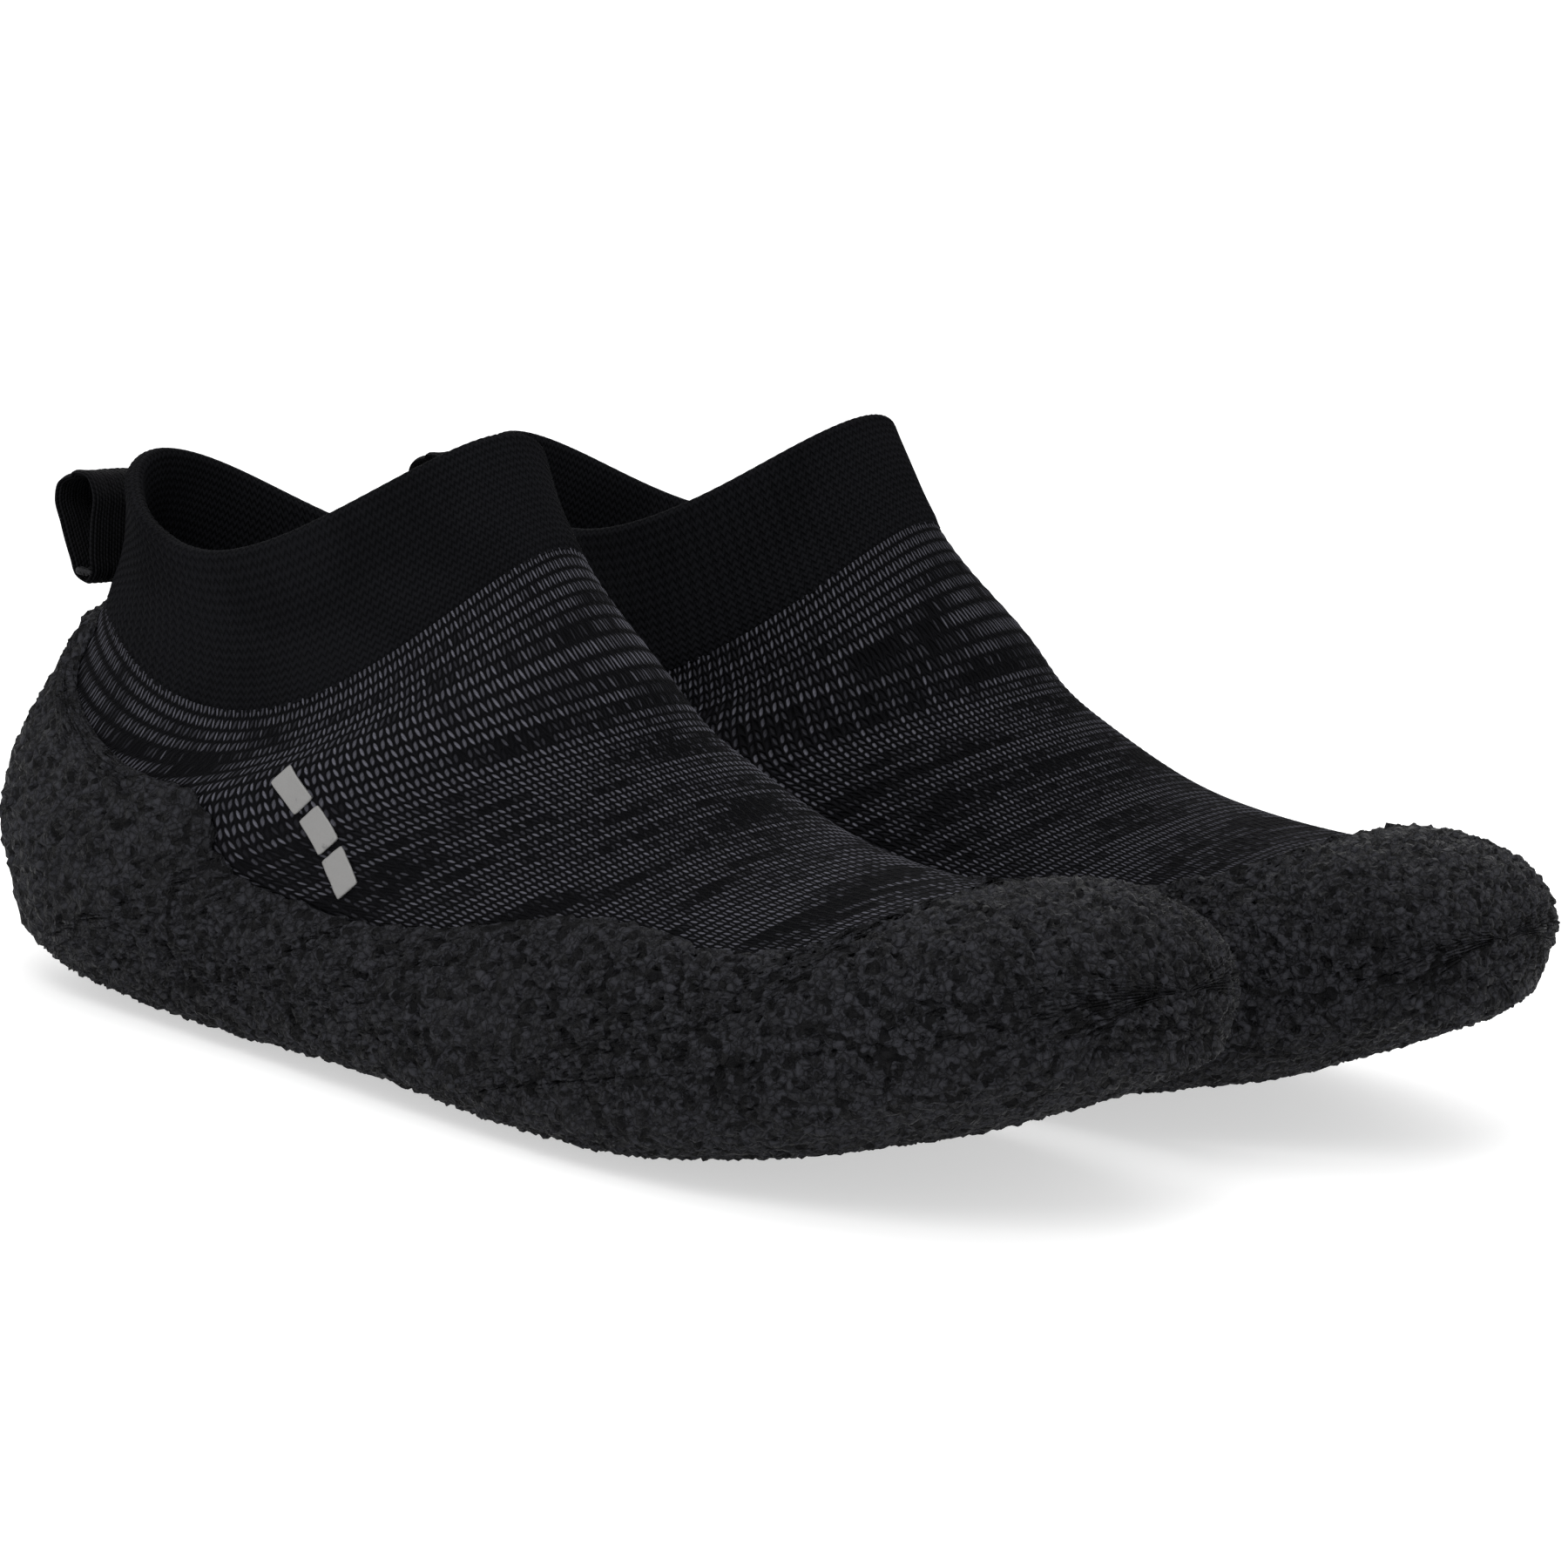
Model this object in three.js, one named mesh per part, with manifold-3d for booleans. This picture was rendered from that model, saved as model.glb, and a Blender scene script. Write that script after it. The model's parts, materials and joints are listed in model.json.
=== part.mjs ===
// A pair of low knitted water shoes. Each shoe is a knitted sock with a folded rib cuff,
// pressed into rubber crumb: a sole pad under the foot and a rand round its sides and toe.
// Millimetres, +X towards the toes, +Y to the wearer's left, +Z up, soles on z = 0.
import * as THREE from 'three';
import { mergeVertices } from 'three/addons/utils/BufferGeometryUtils.js';
import Module from 'manifold-3d';

const wasm = await Module();
wasm.setup();

// ---- driving dimensions, millimetres and degrees ----
const SHOE_LENGTH = 252;      // heel to toe over the knit
const BALL_WIDTH = 93.5;      // across the knit at the ball of the foot
const CUFF_TOP = 115.5;       // front edge of the cuff above the floor
const KNIT_T = 1.8;           // sock wall
const RIB_T = 3;              // folded double wall of the cuff
const RAND_T = 2.3;           // rubber crumb on the sides
const PAD_T = 4.8;            // rubber crumb under the sole
const SOLE_TRIM = 0.8;        // depth pressed flat where the sole meets the floor
const FOAM_T = 3.2;           // insole foam
const LINING_T = 0.9;         // cloth on top of the insole
const CLEAR = 0.3;            // gap between pieces that touch
const INSOLE_CLEAR = 0.5;     // gap round the loose insole
const LOOP_WIDTH = 22;        // ribbon width
const LOOP_T = 1.2;           // ribbon thickness
const LOOP_HEIGHT = 18.5;     // from the stitched bar to the top of the loop
const LOOP_DEPTH = 12;        // front to back of the loop at its fullest
const LOOP_LEAN = 14;         // degrees the loop leans back at rest
const TACK_R = 0.8;           // half thickness of the stitched bar in the foot of the loop
const PRINT_LENGTH = 26;      // heat transfer on the outer side
const PRINT_WIDTH = 5.2;
const PRINT_T = 0.4;
const SEAM_WIDTH = 2.4;       // linking seam inside the toe
const SEAM_T = 1.1;
const PAIR_GAP = 5.9;         // room between the two shoes at the ball, if both stood straight
const LEFT_FORWARD = 2;       // how far ahead the left shoe stands
const LEFT_TURN = 4.5;        // degrees the left shoe toes out

// ---- places along the sock, as t from the mouth of the cuff (0) to the toe tip (1) ----
const CUFF_END = 0.16;        // rib cuff meets the melange knit
const LOOP_ROOT = 0.155;      // where the loop is sewn to the back of the cuff
const TONGUE_TOP = 0.185;     // upper end of the rubber tongue on the heel
const TOE_SEAM = 0.93;

// ---- the last ----
// Rings run from the mouth of the cuff (t = 0) to the toe tip (t = 1), each once round the foot.
// Every measure of a ring is a curve through a few [t, value] points.
const LAST_LENGTH = 252;
const LAST_WIDTH = 94;
const LAST_TOP = 115;
const LAST = {
  // Front or top point of the ring: down the front of the ankle, the instep and over the toes.
  frontX: [[0, 110], [0.4, 148], [0.52, 160], [0.63, 180], [0.86, 240], [0.95, 256], [1, 260]],
  frontZ: [[0, 115], [0.16, 96], [0.4, 77], [0.55, 65], [0.68, 54], [0.76, 52], [0.86, 54],
    [0.93, 50], [1, 37]],
  // Rear or underside point: down the heel, and forward along the sole.
  backX: [[0, 24], [0.1, 23], [0.24, 13], [0.33, 7], [0.41, 10], [0.48, 24], [0.55, 62],
    [0.71, 155], [0.86, 216], [1, 260]],
  backZ: [[0, 99], [0.16, 73], [0.32, 43], [0.4, 26], [0.48, 9], [0.54, 4], [0.63, 4.8],
    [0.75, 4], [0.86, 13], [0.93, 23], [1, 34]],
  // Half widths to the outer and the inner side of a middle line that moves inwards by shift.
  out: [[0, 29], [0.16, 28], [0.32, 36], [0.56, 38], [0.7, 48], [0.78, 50], [0.87, 46],
    [0.93, 37], [0.97, 25], [1, 8]],
  inn: [[0, 30], [0.16, 31], [0.4, 36], [0.63, 43], [0.76, 45], [0.86, 41], [0.93, 30],
    [0.97, 20], [1, 7]],
  shift: [[0, 0], [0.3, 0], [0.4, 0], [0.86, 6], [1, 11]],
  // Where from front to back the ring is widest, and how square its two halves are.
  mid: [[0, 0.5], [0.24, 0.5], [0.6, 0.64], [1, 0.5]],
  top: [[0, 2], [0.6, 2], [0.88, 2.2], [1, 2]],
  under: [[0, 2], [0.2, 2], [0.5, 3], [0.6, 3.2], [0.74, 3.2], [0.88, 2.5], [1, 2]],
  // How far the sides of the ring hang below the line from its front to its back.
  sag: [[0, 15], [0.16, 25], [0.24, 22], [0.46, 4], [0.55, 0], [0.65, 0], [1, 0]],
};

// Upper edge of the rubber crumb: degrees round the ring from its front or top point. It leaves
// a tongue up the back of the heel, drops along the sides, and closes over the toe.
const CRUMB_EDGE = {
  outer: [[0.06, 156], [0.19, 155], [0.23, 147], [0.26, 118], [0.3, 97], [0.38, 86], [0.54, 84],
    [0.6, 78], [0.66, 56], [0.75, 50], [0.785, 41], [0.8, 26], [0.81, 4]],
  inner: [[0.06, 156], [0.19, 155], [0.23, 147], [0.26, 118], [0.3, 97], [0.38, 87], [0.54, 81],
    [0.6, 77], [0.66, 60], [0.72, 50], [0.76, 41], [0.785, 30], [0.8, 18], [0.81, 3]],
};

// Parting line between the sole pad and the rand, seen from the side, as [x, z] on the last.
const PARTING = [
  [-20, 9],
  [60, 9],
  [110, 9.5],
  [150, 10],
  [165, 13],
  [200, 22],
  [230, 32.5],
  [262, 43],
  [290, 49],
];

// ---- the skin of the knit, as a function of the ring angle and t ----
function curve(points, x) {
  const knots = points.map((point) => point[0]);
  const values = points.map((point) => point[1]);
  const last = knots.length - 1;
  const slope = knots.slice(1).map((k, i) => (values[i + 1] - values[i]) / (k - knots[i]));
  const tangent = (i) => {
    if (i === 0) return 2 * slope[0] - tangent(1);
    if (i === last) return 2 * slope[last - 1] - tangent(last - 1);
    const before = knots[i] - knots[i - 1];
    const after = knots[i + 1] - knots[i];
    return (slope[i - 1] * after + slope[i] * before) / (before + after);
  };
  let i = 0;
  while (i < last - 1 && x >= knots[i + 1]) i += 1;
  const h = knots[i + 1] - knots[i];
  const u = (x - knots[i]) / h;
  return (2 * u ** 3 - 3 * u ** 2 + 1) * values[i]
    + (u ** 3 - 2 * u ** 2 + u) * h * tangent(i)
    + (-2 * u ** 3 + 3 * u ** 2) * values[i + 1]
    + (u ** 3 - u ** 2) * h * tangent(i + 1);
}

// The last is stretched to the driving sizes; its lowest point stays one pressed pad above
// the floor.
const SAMPLES = 400;
const sampledT = Array.from({ length: SAMPLES }, (_, i) => i / SAMPLES);
const lastSole = Math.min(...sampledT.map((t) => curve(LAST.backZ, t)));
const soleHeight = PAD_T - SOLE_TRIM;
const kx = SHOE_LENGTH / LAST_LENGTH;
const ky = BALL_WIDTH / LAST_WIDTH;
const kz = (CUFF_TOP - soleHeight) / (LAST_TOP - lastSole);
const toHeight = (z) => soleHeight + (z - lastSole) * kz;

const ringMemo = new Map();
function ringAt(t) {
  if (!ringMemo.has(t)) {
    const measures = Object.entries(LAST).map(([name, points]) => [name, curve(points, t)]);
    ringMemo.set(t, Object.fromEntries(measures));
  }
  return ringMemo.get(t);
}

function skinPoint(phi, t) {
  const r = ringAt(t);
  const c = Math.cos(phi);
  const s = Math.sin(phi);
  const power = 2 / (c > 0 ? r.top : r.under);
  const along = Math.abs(c) ** power;
  const across = Math.abs(s) ** power;
  const midX = r.frontX + (r.backX - r.frontX) * r.mid;
  const midZ = r.frontZ + (r.backZ - r.frontZ) * r.mid;
  const x = midX + ((c > 0 ? r.frontX : r.backX) - midX) * along;
  const z = midZ + ((c > 0 ? r.frontZ : r.backZ) - midZ) * along;
  const y = r.shift + (s > 0 ? -r.out : r.inn) * across;
  const runX = r.frontX - r.backX;
  const runZ = r.frontZ - r.backZ;
  const run = Math.hypot(runX, runZ);
  const drop = (r.sag * s * s) / run;
  return new THREE.Vector3((x + runZ * drop) * kx, y * ky, toHeight(z - runX * drop));
}

const STEP = 1e-3;
function skinNormal(phi, t) {
  const round = skinPoint(phi + STEP, t).sub(skinPoint(phi - STEP, t));
  const ahead = skinPoint(phi, Math.min(t + STEP, 1)).sub(skinPoint(phi, t - STEP));
  return round.cross(ahead).normalize();
}

const offsetSkin = (phi, t, d) => {
  const n = skinNormal(phi, t);
  const far = typeof d === 'function' ? d(n) : d;
  return skinPoint(phi, t).addScaledVector(n, far);
};

const smooth = (low, high, x) => {
  const u = Math.min(Math.max((x - low) / (high - low), 0), 1);
  return u * u * (3 - 2 * u);
};

// ---- closed solids made of rows of points ----
function meshFrom(points, faces) {
  const position = new Float32Array(points.flatMap((p) => [p.x, p.y, p.z]));
  let six = 0;
  for (const [a, b, c] of faces) six += points[a].dot(points[b].clone().cross(points[c]));
  const index = faces.flatMap(([a, b, c]) => (six > 0 ? [a, b, c] : [a, c, b]));
  const geometry = new THREE.BufferGeometry();
  geometry.setAttribute('position', new THREE.BufferAttribute(position, 3));
  geometry.setIndex(index);
  geometry.computeVertexNormals();
  return geometry;
}

const quad = (faces, a, b, c, d) => faces.push([a, b, c], [a, c, d]);

// Rows crowd towards the toe tip, where the skin curves most.
const TOE_CROWD = 1.5;
const rowsBetween = (tStart, tEnd, count, crowd) => Array.from({ length: count }, (_, i) => (
  tStart + (tEnd - tStart) * (1 - (1 - i / (count - 1)) ** crowd)
));
const HALF_GAP = 0.0015;      // half the gap between cuff and sock, as t
const CUFF_ROWS = 5;
const SOCK_ROWS = 19;
const cuffRows = rowsBetween(0, CUFF_END - HALF_GAP, CUFF_ROWS, 1);
const sockRows = rowsBetween(CUFF_END + HALF_GAP, 1, SOCK_ROWS, TOE_CROWD);
const AROUND = 28;            // points round each ring

const ringPoints = (t, d) => Array.from({ length: AROUND }, (_, j) => (
  offsetSkin((2 * Math.PI * j) / AROUND, t, d)
));
const middleOf = (ring) => ring.reduce((sum, p) => sum.add(p), new THREE.Vector3())
  .divideScalar(ring.length);

// A closed bag through the rings at the given rows, at distance d from the skin.
function bagSolid(d, rows) {
  const rings = rows.map((t) => ringPoints(t, d));
  const points = rings.flat();
  const faces = [];
  const end = rows.length - 1;
  const at = (i, j) => i * AROUND + (j % AROUND);
  const mouth = points.push(middleOf(rings[0])) - 1;
  const tip = points.push(middleOf(rings[end])) - 1;
  for (let j = 0; j < AROUND; j += 1) {
    faces.push([mouth, at(0, j), at(0, j + 1)], [tip, at(end, j + 1), at(end, j)]);
    for (let i = 0; i < end; i += 1) quad(faces, at(i, j), at(i + 1, j), at(i + 1, j + 1), at(i, j + 1));
  }
  return meshFrom(points, faces);
}

// A wall between two distances from the skin, all the way round, through the given rows.
// Where the last row is the toe tip, each face closes there on one point.
function wallSolid(dOuter, dInner, rows) {
  const layers = [dOuter, dInner].map((d) => rows.map((t) => ringPoints(t, d)));
  const points = layers.flat(2);
  const faces = [];
  const end = rows.length - 1;
  const at = (layer, i, j) => (layer * rows.length + i) * AROUND + (j % AROUND);
  const closed = rows[end] === 1;
  const tip = points.length;
  if (closed) points.push(middleOf(layers[0][end]), middleOf(layers[1][end]));
  for (let j = 0; j < AROUND; j += 1) {
    for (let i = 0; i < end; i += 1) {
      quad(faces, at(0, i, j), at(0, i + 1, j), at(0, i + 1, j + 1), at(0, i, j + 1));
      quad(faces, at(1, i, j + 1), at(1, i + 1, j + 1), at(1, i + 1, j), at(1, i, j));
    }
    quad(faces, at(0, 0, j), at(0, 0, j + 1), at(1, 0, j + 1), at(1, 0, j));
    if (closed) {
      faces.push([tip, at(0, end, j + 1), at(0, end, j)], [tip + 1, at(1, end, j), at(1, end, j + 1)]);
    } else {
      quad(faces, at(1, end, j), at(1, end, j + 1), at(0, end, j + 1), at(0, end, j));
    }
  }
  return meshFrom(points, faces);
}

// A patch between two distances from the skin. place(a, b) gives [phi, t] for a and b from 0 to 1.
function patchSolid(dOuter, dInner, place, rows, columns) {
  const points = [];
  const faces = [];
  const at = (layer, i, j) => (layer * (rows + 1) + i) * (columns + 1) + j;
  for (const d of [dOuter, dInner]) {
    for (let i = 0; i <= rows; i += 1) {
      for (let j = 0; j <= columns; j += 1) {
        const [phi, t] = place(i / rows, j / columns);
        points.push(offsetSkin(phi, t, d));
      }
    }
  }
  for (let i = 0; i < rows; i += 1) {
    for (let j = 0; j < columns; j += 1) {
      quad(faces, at(0, i, j), at(0, i + 1, j), at(0, i + 1, j + 1), at(0, i, j + 1));
      quad(faces, at(1, i, j + 1), at(1, i + 1, j + 1), at(1, i + 1, j), at(1, i, j));
    }
    quad(faces, at(0, i, 0), at(1, i, 0), at(1, i + 1, 0), at(0, i + 1, 0));
    quad(faces, at(0, i + 1, columns), at(1, i + 1, columns), at(1, i, columns), at(0, i, columns));
  }
  for (let j = 0; j < columns; j += 1) {
    quad(faces, at(0, 0, j + 1), at(1, 0, j + 1), at(1, 0, j), at(0, 0, j));
    quad(faces, at(0, rows, j), at(1, rows, j), at(1, rows, j + 1), at(0, rows, j + 1));
  }
  return meshFrom(points, faces);
}

// A prism across the whole shoe from a closed side outline of [x, z] points.
function sidePrism(outline) {
  const shape = new THREE.Shape(outline.map(([x, z]) => new THREE.Vector2(x, z)));
  const depth = 2 * BALL_WIDTH;
  const geometry = new THREE.ExtrudeGeometry(shape, { depth, bevelEnabled: false });
  return geometry.rotateX(Math.PI / 2).translate(0, depth / 2, 0);
}

const MERGE = 1e-4;           // points closer than this are one point
function toSolid(geometry) {
  const bare = new THREE.BufferGeometry();
  bare.setAttribute('position', geometry.getAttribute('position').clone());
  if (geometry.index) bare.setIndex(geometry.index.clone());
  const merged = mergeVertices(bare, MERGE);
  const vertProperties = merged.getAttribute('position').array;
  const triVerts = new Uint32Array(merged.index.array);
  return new wasm.Manifold(new wasm.Mesh({ numProp: 3, vertProperties, triVerts }));
}

function toGeometry(solid) {
  const mesh = solid.getMesh();
  const geometry = new THREE.BufferGeometry();
  geometry.setAttribute('position', new THREE.BufferAttribute(mesh.vertProperties, 3));
  geometry.setIndex(new THREE.BufferAttribute(mesh.triVerts, 1));
  geometry.computeVertexNormals();
  return geometry;
}

// ---- rubber crumb ----
const EDGE_FROM = 0.06;       // where along the sock the edge runs, as t
const EDGE_TO = 0.81;
const EDGE_ROWS = 30;
const EDGE_COLUMNS = 8;
const CUT_OUT = 7;            // how far the edge cutter reaches out of the skin
const CUT_IN = 2;             // and into it

function bareKnitCutter() {
  const place = (a, b) => {
    const t = EDGE_FROM + (EDGE_TO - EDGE_FROM) * a;
    const left = -curve(CRUMB_EDGE.inner, t);
    const right = curve(CRUMB_EDGE.outer, t);
    return [THREE.MathUtils.degToRad(left + (right - left) * b), t];
  };
  return patchSolid(CUT_OUT, -CUT_IN, place, EDGE_ROWS, EDGE_COLUMNS);
}

// The coat thickens from side wall to sole as the skin turns to face down.
const THICKENS = 0.35;
const FULL_PAD = 0.9;
const crumbDepth = (n) => RAND_T + (PAD_T - RAND_T) * smooth(THICKENS, FULL_PAD, -n.z);
function crumbSolid() {
  const rows = [TONGUE_TOP, ...sockRows.filter((t) => t > TONGUE_TOP + HALF_GAP)];
  const outside = toSolid(bagSolid(crumbDepth, rows));
  const sock = toSolid(bagSolid(CLEAR, [...cuffRows, ...sockRows]));
  const floor = new THREE.BoxGeometry(2 * SHOE_LENGTH, 2 * BALL_WIDTH, PAD_T);
  floor.translate(SHOE_LENGTH / 2, 0, -PAD_T / 2);
  return outside.subtract(sock).subtract(toSolid(bareKnitCutter())).subtract(toSolid(floor));
}

const belowParting = (rise) => sidePrism([
  [PARTING[0][0] * kx, -PAD_T],
  ...PARTING.map(([x, z]) => [x * kx, toHeight(z) + rise]),
  [PARTING[PARTING.length - 1][0] * kx, -PAD_T],
]);

const largestPiece = (solid) => solid.decompose()
  .reduce((best, piece) => (piece.volume() > best.volume() ? piece : best));

// ---- insole ----
// The sole line runs level under the heel and then follows the underside of the rings.
const SOLE_FROM = 0.55;
const INSOLE_TOE = 0.955;     // the insole stops short of the toe tip
const INSOLE_HEEL = 24;       // its heel end on the last
const SOLE_STEPS = 9;
const bagFloor = KNIT_T + INSOLE_CLEAR;

function soleLine(rise) {
  const line = [[INSOLE_HEEL * kx, toHeight(ringAt(SOLE_FROM).backZ) + rise]];
  for (let i = 0; i <= SOLE_STEPS; i += 1) {
    const t = SOLE_FROM + ((INSOLE_TOE - SOLE_FROM) * i) / SOLE_STEPS;
    line.push([ringAt(t).backX * kx, toHeight(ringAt(t).backZ) + rise]);
  }
  return line;
}

function insoleLayer(low, high) {
  const outline = [...soleLine(low), ...soleLine(high).reverse()];
  const inside = toSolid(bagSolid(-bagFloor, sockRows));
  return toGeometry(largestPiece(inside.intersect(toSolid(sidePrism(outline)))));
}

const foamTop = bagFloor + FOAM_T;

// ---- heel pull loop ----
const loopFoot = TACK_R * Math.SQRT2 + CLEAR + LOOP_T;
const CROWN_R = 2.6;
const BEND_STEPS = 7;         // flats in each bend of the ribbon
const rootNormal = skinNormal(Math.PI, LOOP_ROOT);
const rootPoint = skinPoint(Math.PI, LOOP_ROOT).addScaledVector(rootNormal, CLEAR + loopFoot);

// A belt round circles given anticlockwise as [x, y, radius].
function belt(circles) {
  const count = circles.length;
  const leaving = circles.map(([x, y, r], i) => {
    const [nx, ny, nr] = circles[(i + 1) % count];
    const away = Math.hypot(nx - x, ny - y);
    return Math.atan2(ny - y, nx - x) - Math.acos((r - nr) / away);
  });
  const path = new THREE.Shape();
  circles.forEach(([x, y, r], i) => {
    path.absarc(x, y, r, leaving[(i + count - 1) % count], leaving[i], false);
  });
  return path;
}

function pullLoop() {
  const half = LOOP_DEPTH / 2 - CROWN_R;
  const crownY = LOOP_HEIGHT - CROWN_R;
  const outline = (inset) => belt([
    [0, 0, loopFoot - inset],
    [half, crownY, CROWN_R - inset],
    [-half, crownY, CROWN_R - inset],
  ]);
  const shape = outline(0);
  shape.holes.push(outline(LOOP_T));
  const ribbon = { depth: LOOP_WIDTH, bevelEnabled: false, curveSegments: BEND_STEPS };
  const geometry = new THREE.ExtrudeGeometry(shape, ribbon);
  geometry.rotateX(Math.PI / 2).translate(0, LOOP_WIDTH / 2, 0);
  return geometry.rotateY(-THREE.MathUtils.degToRad(LOOP_LEAN));
}

// The stitched bar is a staple: it passes through the foot of the loop and both ends run
// forward beside the ribbon to the back of the cuff.
function loopTack() {
  const half = LOOP_WIDTH / 2 + CLEAR;
  const wide = half + 2 * TACK_R;
  const reach = LOOP_WIDTH;
  const staple = new THREE.Shape([
    [-TACK_R, -wide], [reach, -wide], [reach, -half], [TACK_R, -half],
    [TACK_R, half], [reach, half], [reach, wide], [-TACK_R, wide],
  ].map(([x, y]) => new THREE.Vector2(x, y)));
  const geometry = new THREE.ExtrudeGeometry(staple, { depth: 2 * TACK_R, bevelEnabled: false });
  geometry.translate(rootPoint.x, rootPoint.y, rootPoint.z - TACK_R);
  const shoe = toSolid(bagSolid(CLEAR, [...cuffRows, ...sockRows]));
  return toGeometry(largestPiece(toSolid(geometry).subtract(shoe)));
}

// ---- small pieces on the knit ----
// The ring angle and t of the point on the outer side that is at x and z on the last.
const STEPS_TO_FIND = 12;
function findOnSide(x, z) {
  const wanted = [x * kx, toHeight(z)];
  let phi = Math.PI / 2;
  let t = 0.5;
  for (let i = 0; i < STEPS_TO_FIND; i += 1) {
    const here = skinPoint(phi, t);
    const byPhi = skinPoint(phi + STEP, t).sub(here).divideScalar(STEP);
    const byT = skinPoint(phi, t + STEP).sub(here).divideScalar(STEP);
    const dx = wanted[0] - here.x;
    const dz = wanted[1] - here.z;
    const det = byPhi.x * byT.z - byT.x * byPhi.z;
    phi += (dx * byT.z - byT.x * dz) / det;
    t += (byPhi.x * dz - dx * byPhi.z) / det;
  }
  return [phi, t];
}

const PRINT_AT = [103.5, 43.5]; // middle of the transfer on the last, as [x, z]
const PRINT_FALL = 43;        // degrees it falls towards the toes
const PRINT_ROWS = 6;
const PRINT_COLUMNS = 2;
function sidePrint() {
  const fall = THREE.MathUtils.degToRad(PRINT_FALL);
  const place = (a, b) => {
    const long = (a - 0.5) * PRINT_LENGTH;
    const wide = (b - 0.5) * PRINT_WIDTH;
    const x = PRINT_AT[0] + (long * Math.cos(fall) + wide * Math.sin(fall)) / kx;
    const z = PRINT_AT[1] + (wide * Math.cos(fall) - long * Math.sin(fall)) / kz;
    return findOnSide(x, z);
  };
  const film = toSolid(patchSolid(CLEAR + PRINT_T, 0, place, PRINT_ROWS, PRINT_COLUMNS));
  return toGeometry(film.subtract(toSolid(bagSolid(CLEAR, sockRows))));
}

const SEAM_HALF_ANGLE = 62;
const SEAM_ROWS = 12;
function toeSeam() {
  const perT = skinPoint(0, TOE_SEAM + STEP).distanceTo(skinPoint(0, TOE_SEAM)) / STEP;
  const wide = SEAM_WIDTH / 2 / perT;
  const place = (a, b) => [
    THREE.MathUtils.degToRad((2 * a - 1) * SEAM_HALF_ANGLE),
    TOE_SEAM + (2 * b - 1) * wide,
  ];
  const seat = KNIT_T + CLEAR;
  const ridge = toSolid(patchSolid(0, -(seat + SEAM_T), place, SEAM_ROWS, 1));
  return toGeometry(ridge.intersect(toSolid(bagSolid(-seat, sockRows))));
}

// ---- materials ----
const material = (color, roughness) => (
  new THREE.MeshStandardMaterial({ color, roughness, metalness: 0 })
);
const finishes = {
  crumb: material(0x151516, 0.75),
  melange: material(0x24242a, 0.9),
  rib: material(0x0c0c0d, 0.95),
  ribbon: material(0x0b0b0c, 0.85),
  thread: material(0x101011, 0.8),
  foam: material(0x2c2d30, 0.9),
  lining: material(0x1b1b1d, 0.95),
  print: material(0x9a9a9c, 0.5),
};

// ---- one shoe ----
const crumb = crumbSolid();
const pad = largestPiece(crumb.intersect(toSolid(belowParting(0))));
const rand = largestPiece(crumb.subtract(toSolid(belowParting(CLEAR))));
const pieces = [
  ['outsole_pad', toGeometry(pad), 'crumb'],
  ['granule_rand', toGeometry(rand), 'crumb'],
  ['knit_sock', wallSolid(0, -KNIT_T, sockRows), 'melange'],
  ['rib_cuff', wallSolid(0, -RIB_T, cuffRows), 'rib'],
  ['pull_loop', pullLoop(), 'ribbon'],
  ['loop_tack', loopTack(), 'thread'],
  ['insole_foam', insoleLayer(0, foamTop), 'foam'],
  ['insole_lining', insoleLayer(foamTop + CLEAR, foamTop + CLEAR + LINING_T), 'lining'],
  ['side_print', sidePrint(), 'print'],
  ['toe_seam', toeSeam(), 'thread'],
];

function shoe(side) {
  const group = new THREE.Group();
  for (const [name, geometry, finish] of pieces) {
    const mesh = new THREE.Mesh(geometry, finishes[finish].clone());
    mesh.name = `${side}_${name}`;
    if (name === 'pull_loop') mesh.position.copy(rootPoint);
    group.add(mesh);
  }
  return group;
}

// ---- the pair: the left shoe mirrors the right one ----
const right = shoe('right');
const left = shoe('left');
left.scale.y = -1;
const leftTurn = new THREE.Group();
leftTurn.add(left);
left.position.x = -SHOE_LENGTH / 2;
const pairSpacing = BALL_WIDTH + 2 * RAND_T + PAIR_GAP;
leftTurn.position.set(SHOE_LENGTH / 2 + LEFT_FORWARD, pairSpacing, 0);
leftTurn.rotation.z = THREE.MathUtils.degToRad(LEFT_TURN);

const pair = new THREE.Group();
pair.add(right, leftTurn);
const centre = new THREE.Box3().setFromObject(pair, true).getCenter(new THREE.Vector3());
pair.position.set(-centre.x, -centre.y, 0);

const waterShoes = new THREE.Group();
waterShoes.add(pair);
export default waterShoes;
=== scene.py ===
"""A pair of knitted water shoes: granular rubber coats, space-dyed knit, rib cuffs, heel loops."""

import json
import math

import bmesh
import bpy
import numpy as np
from mathutils import Matrix, Vector

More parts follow.
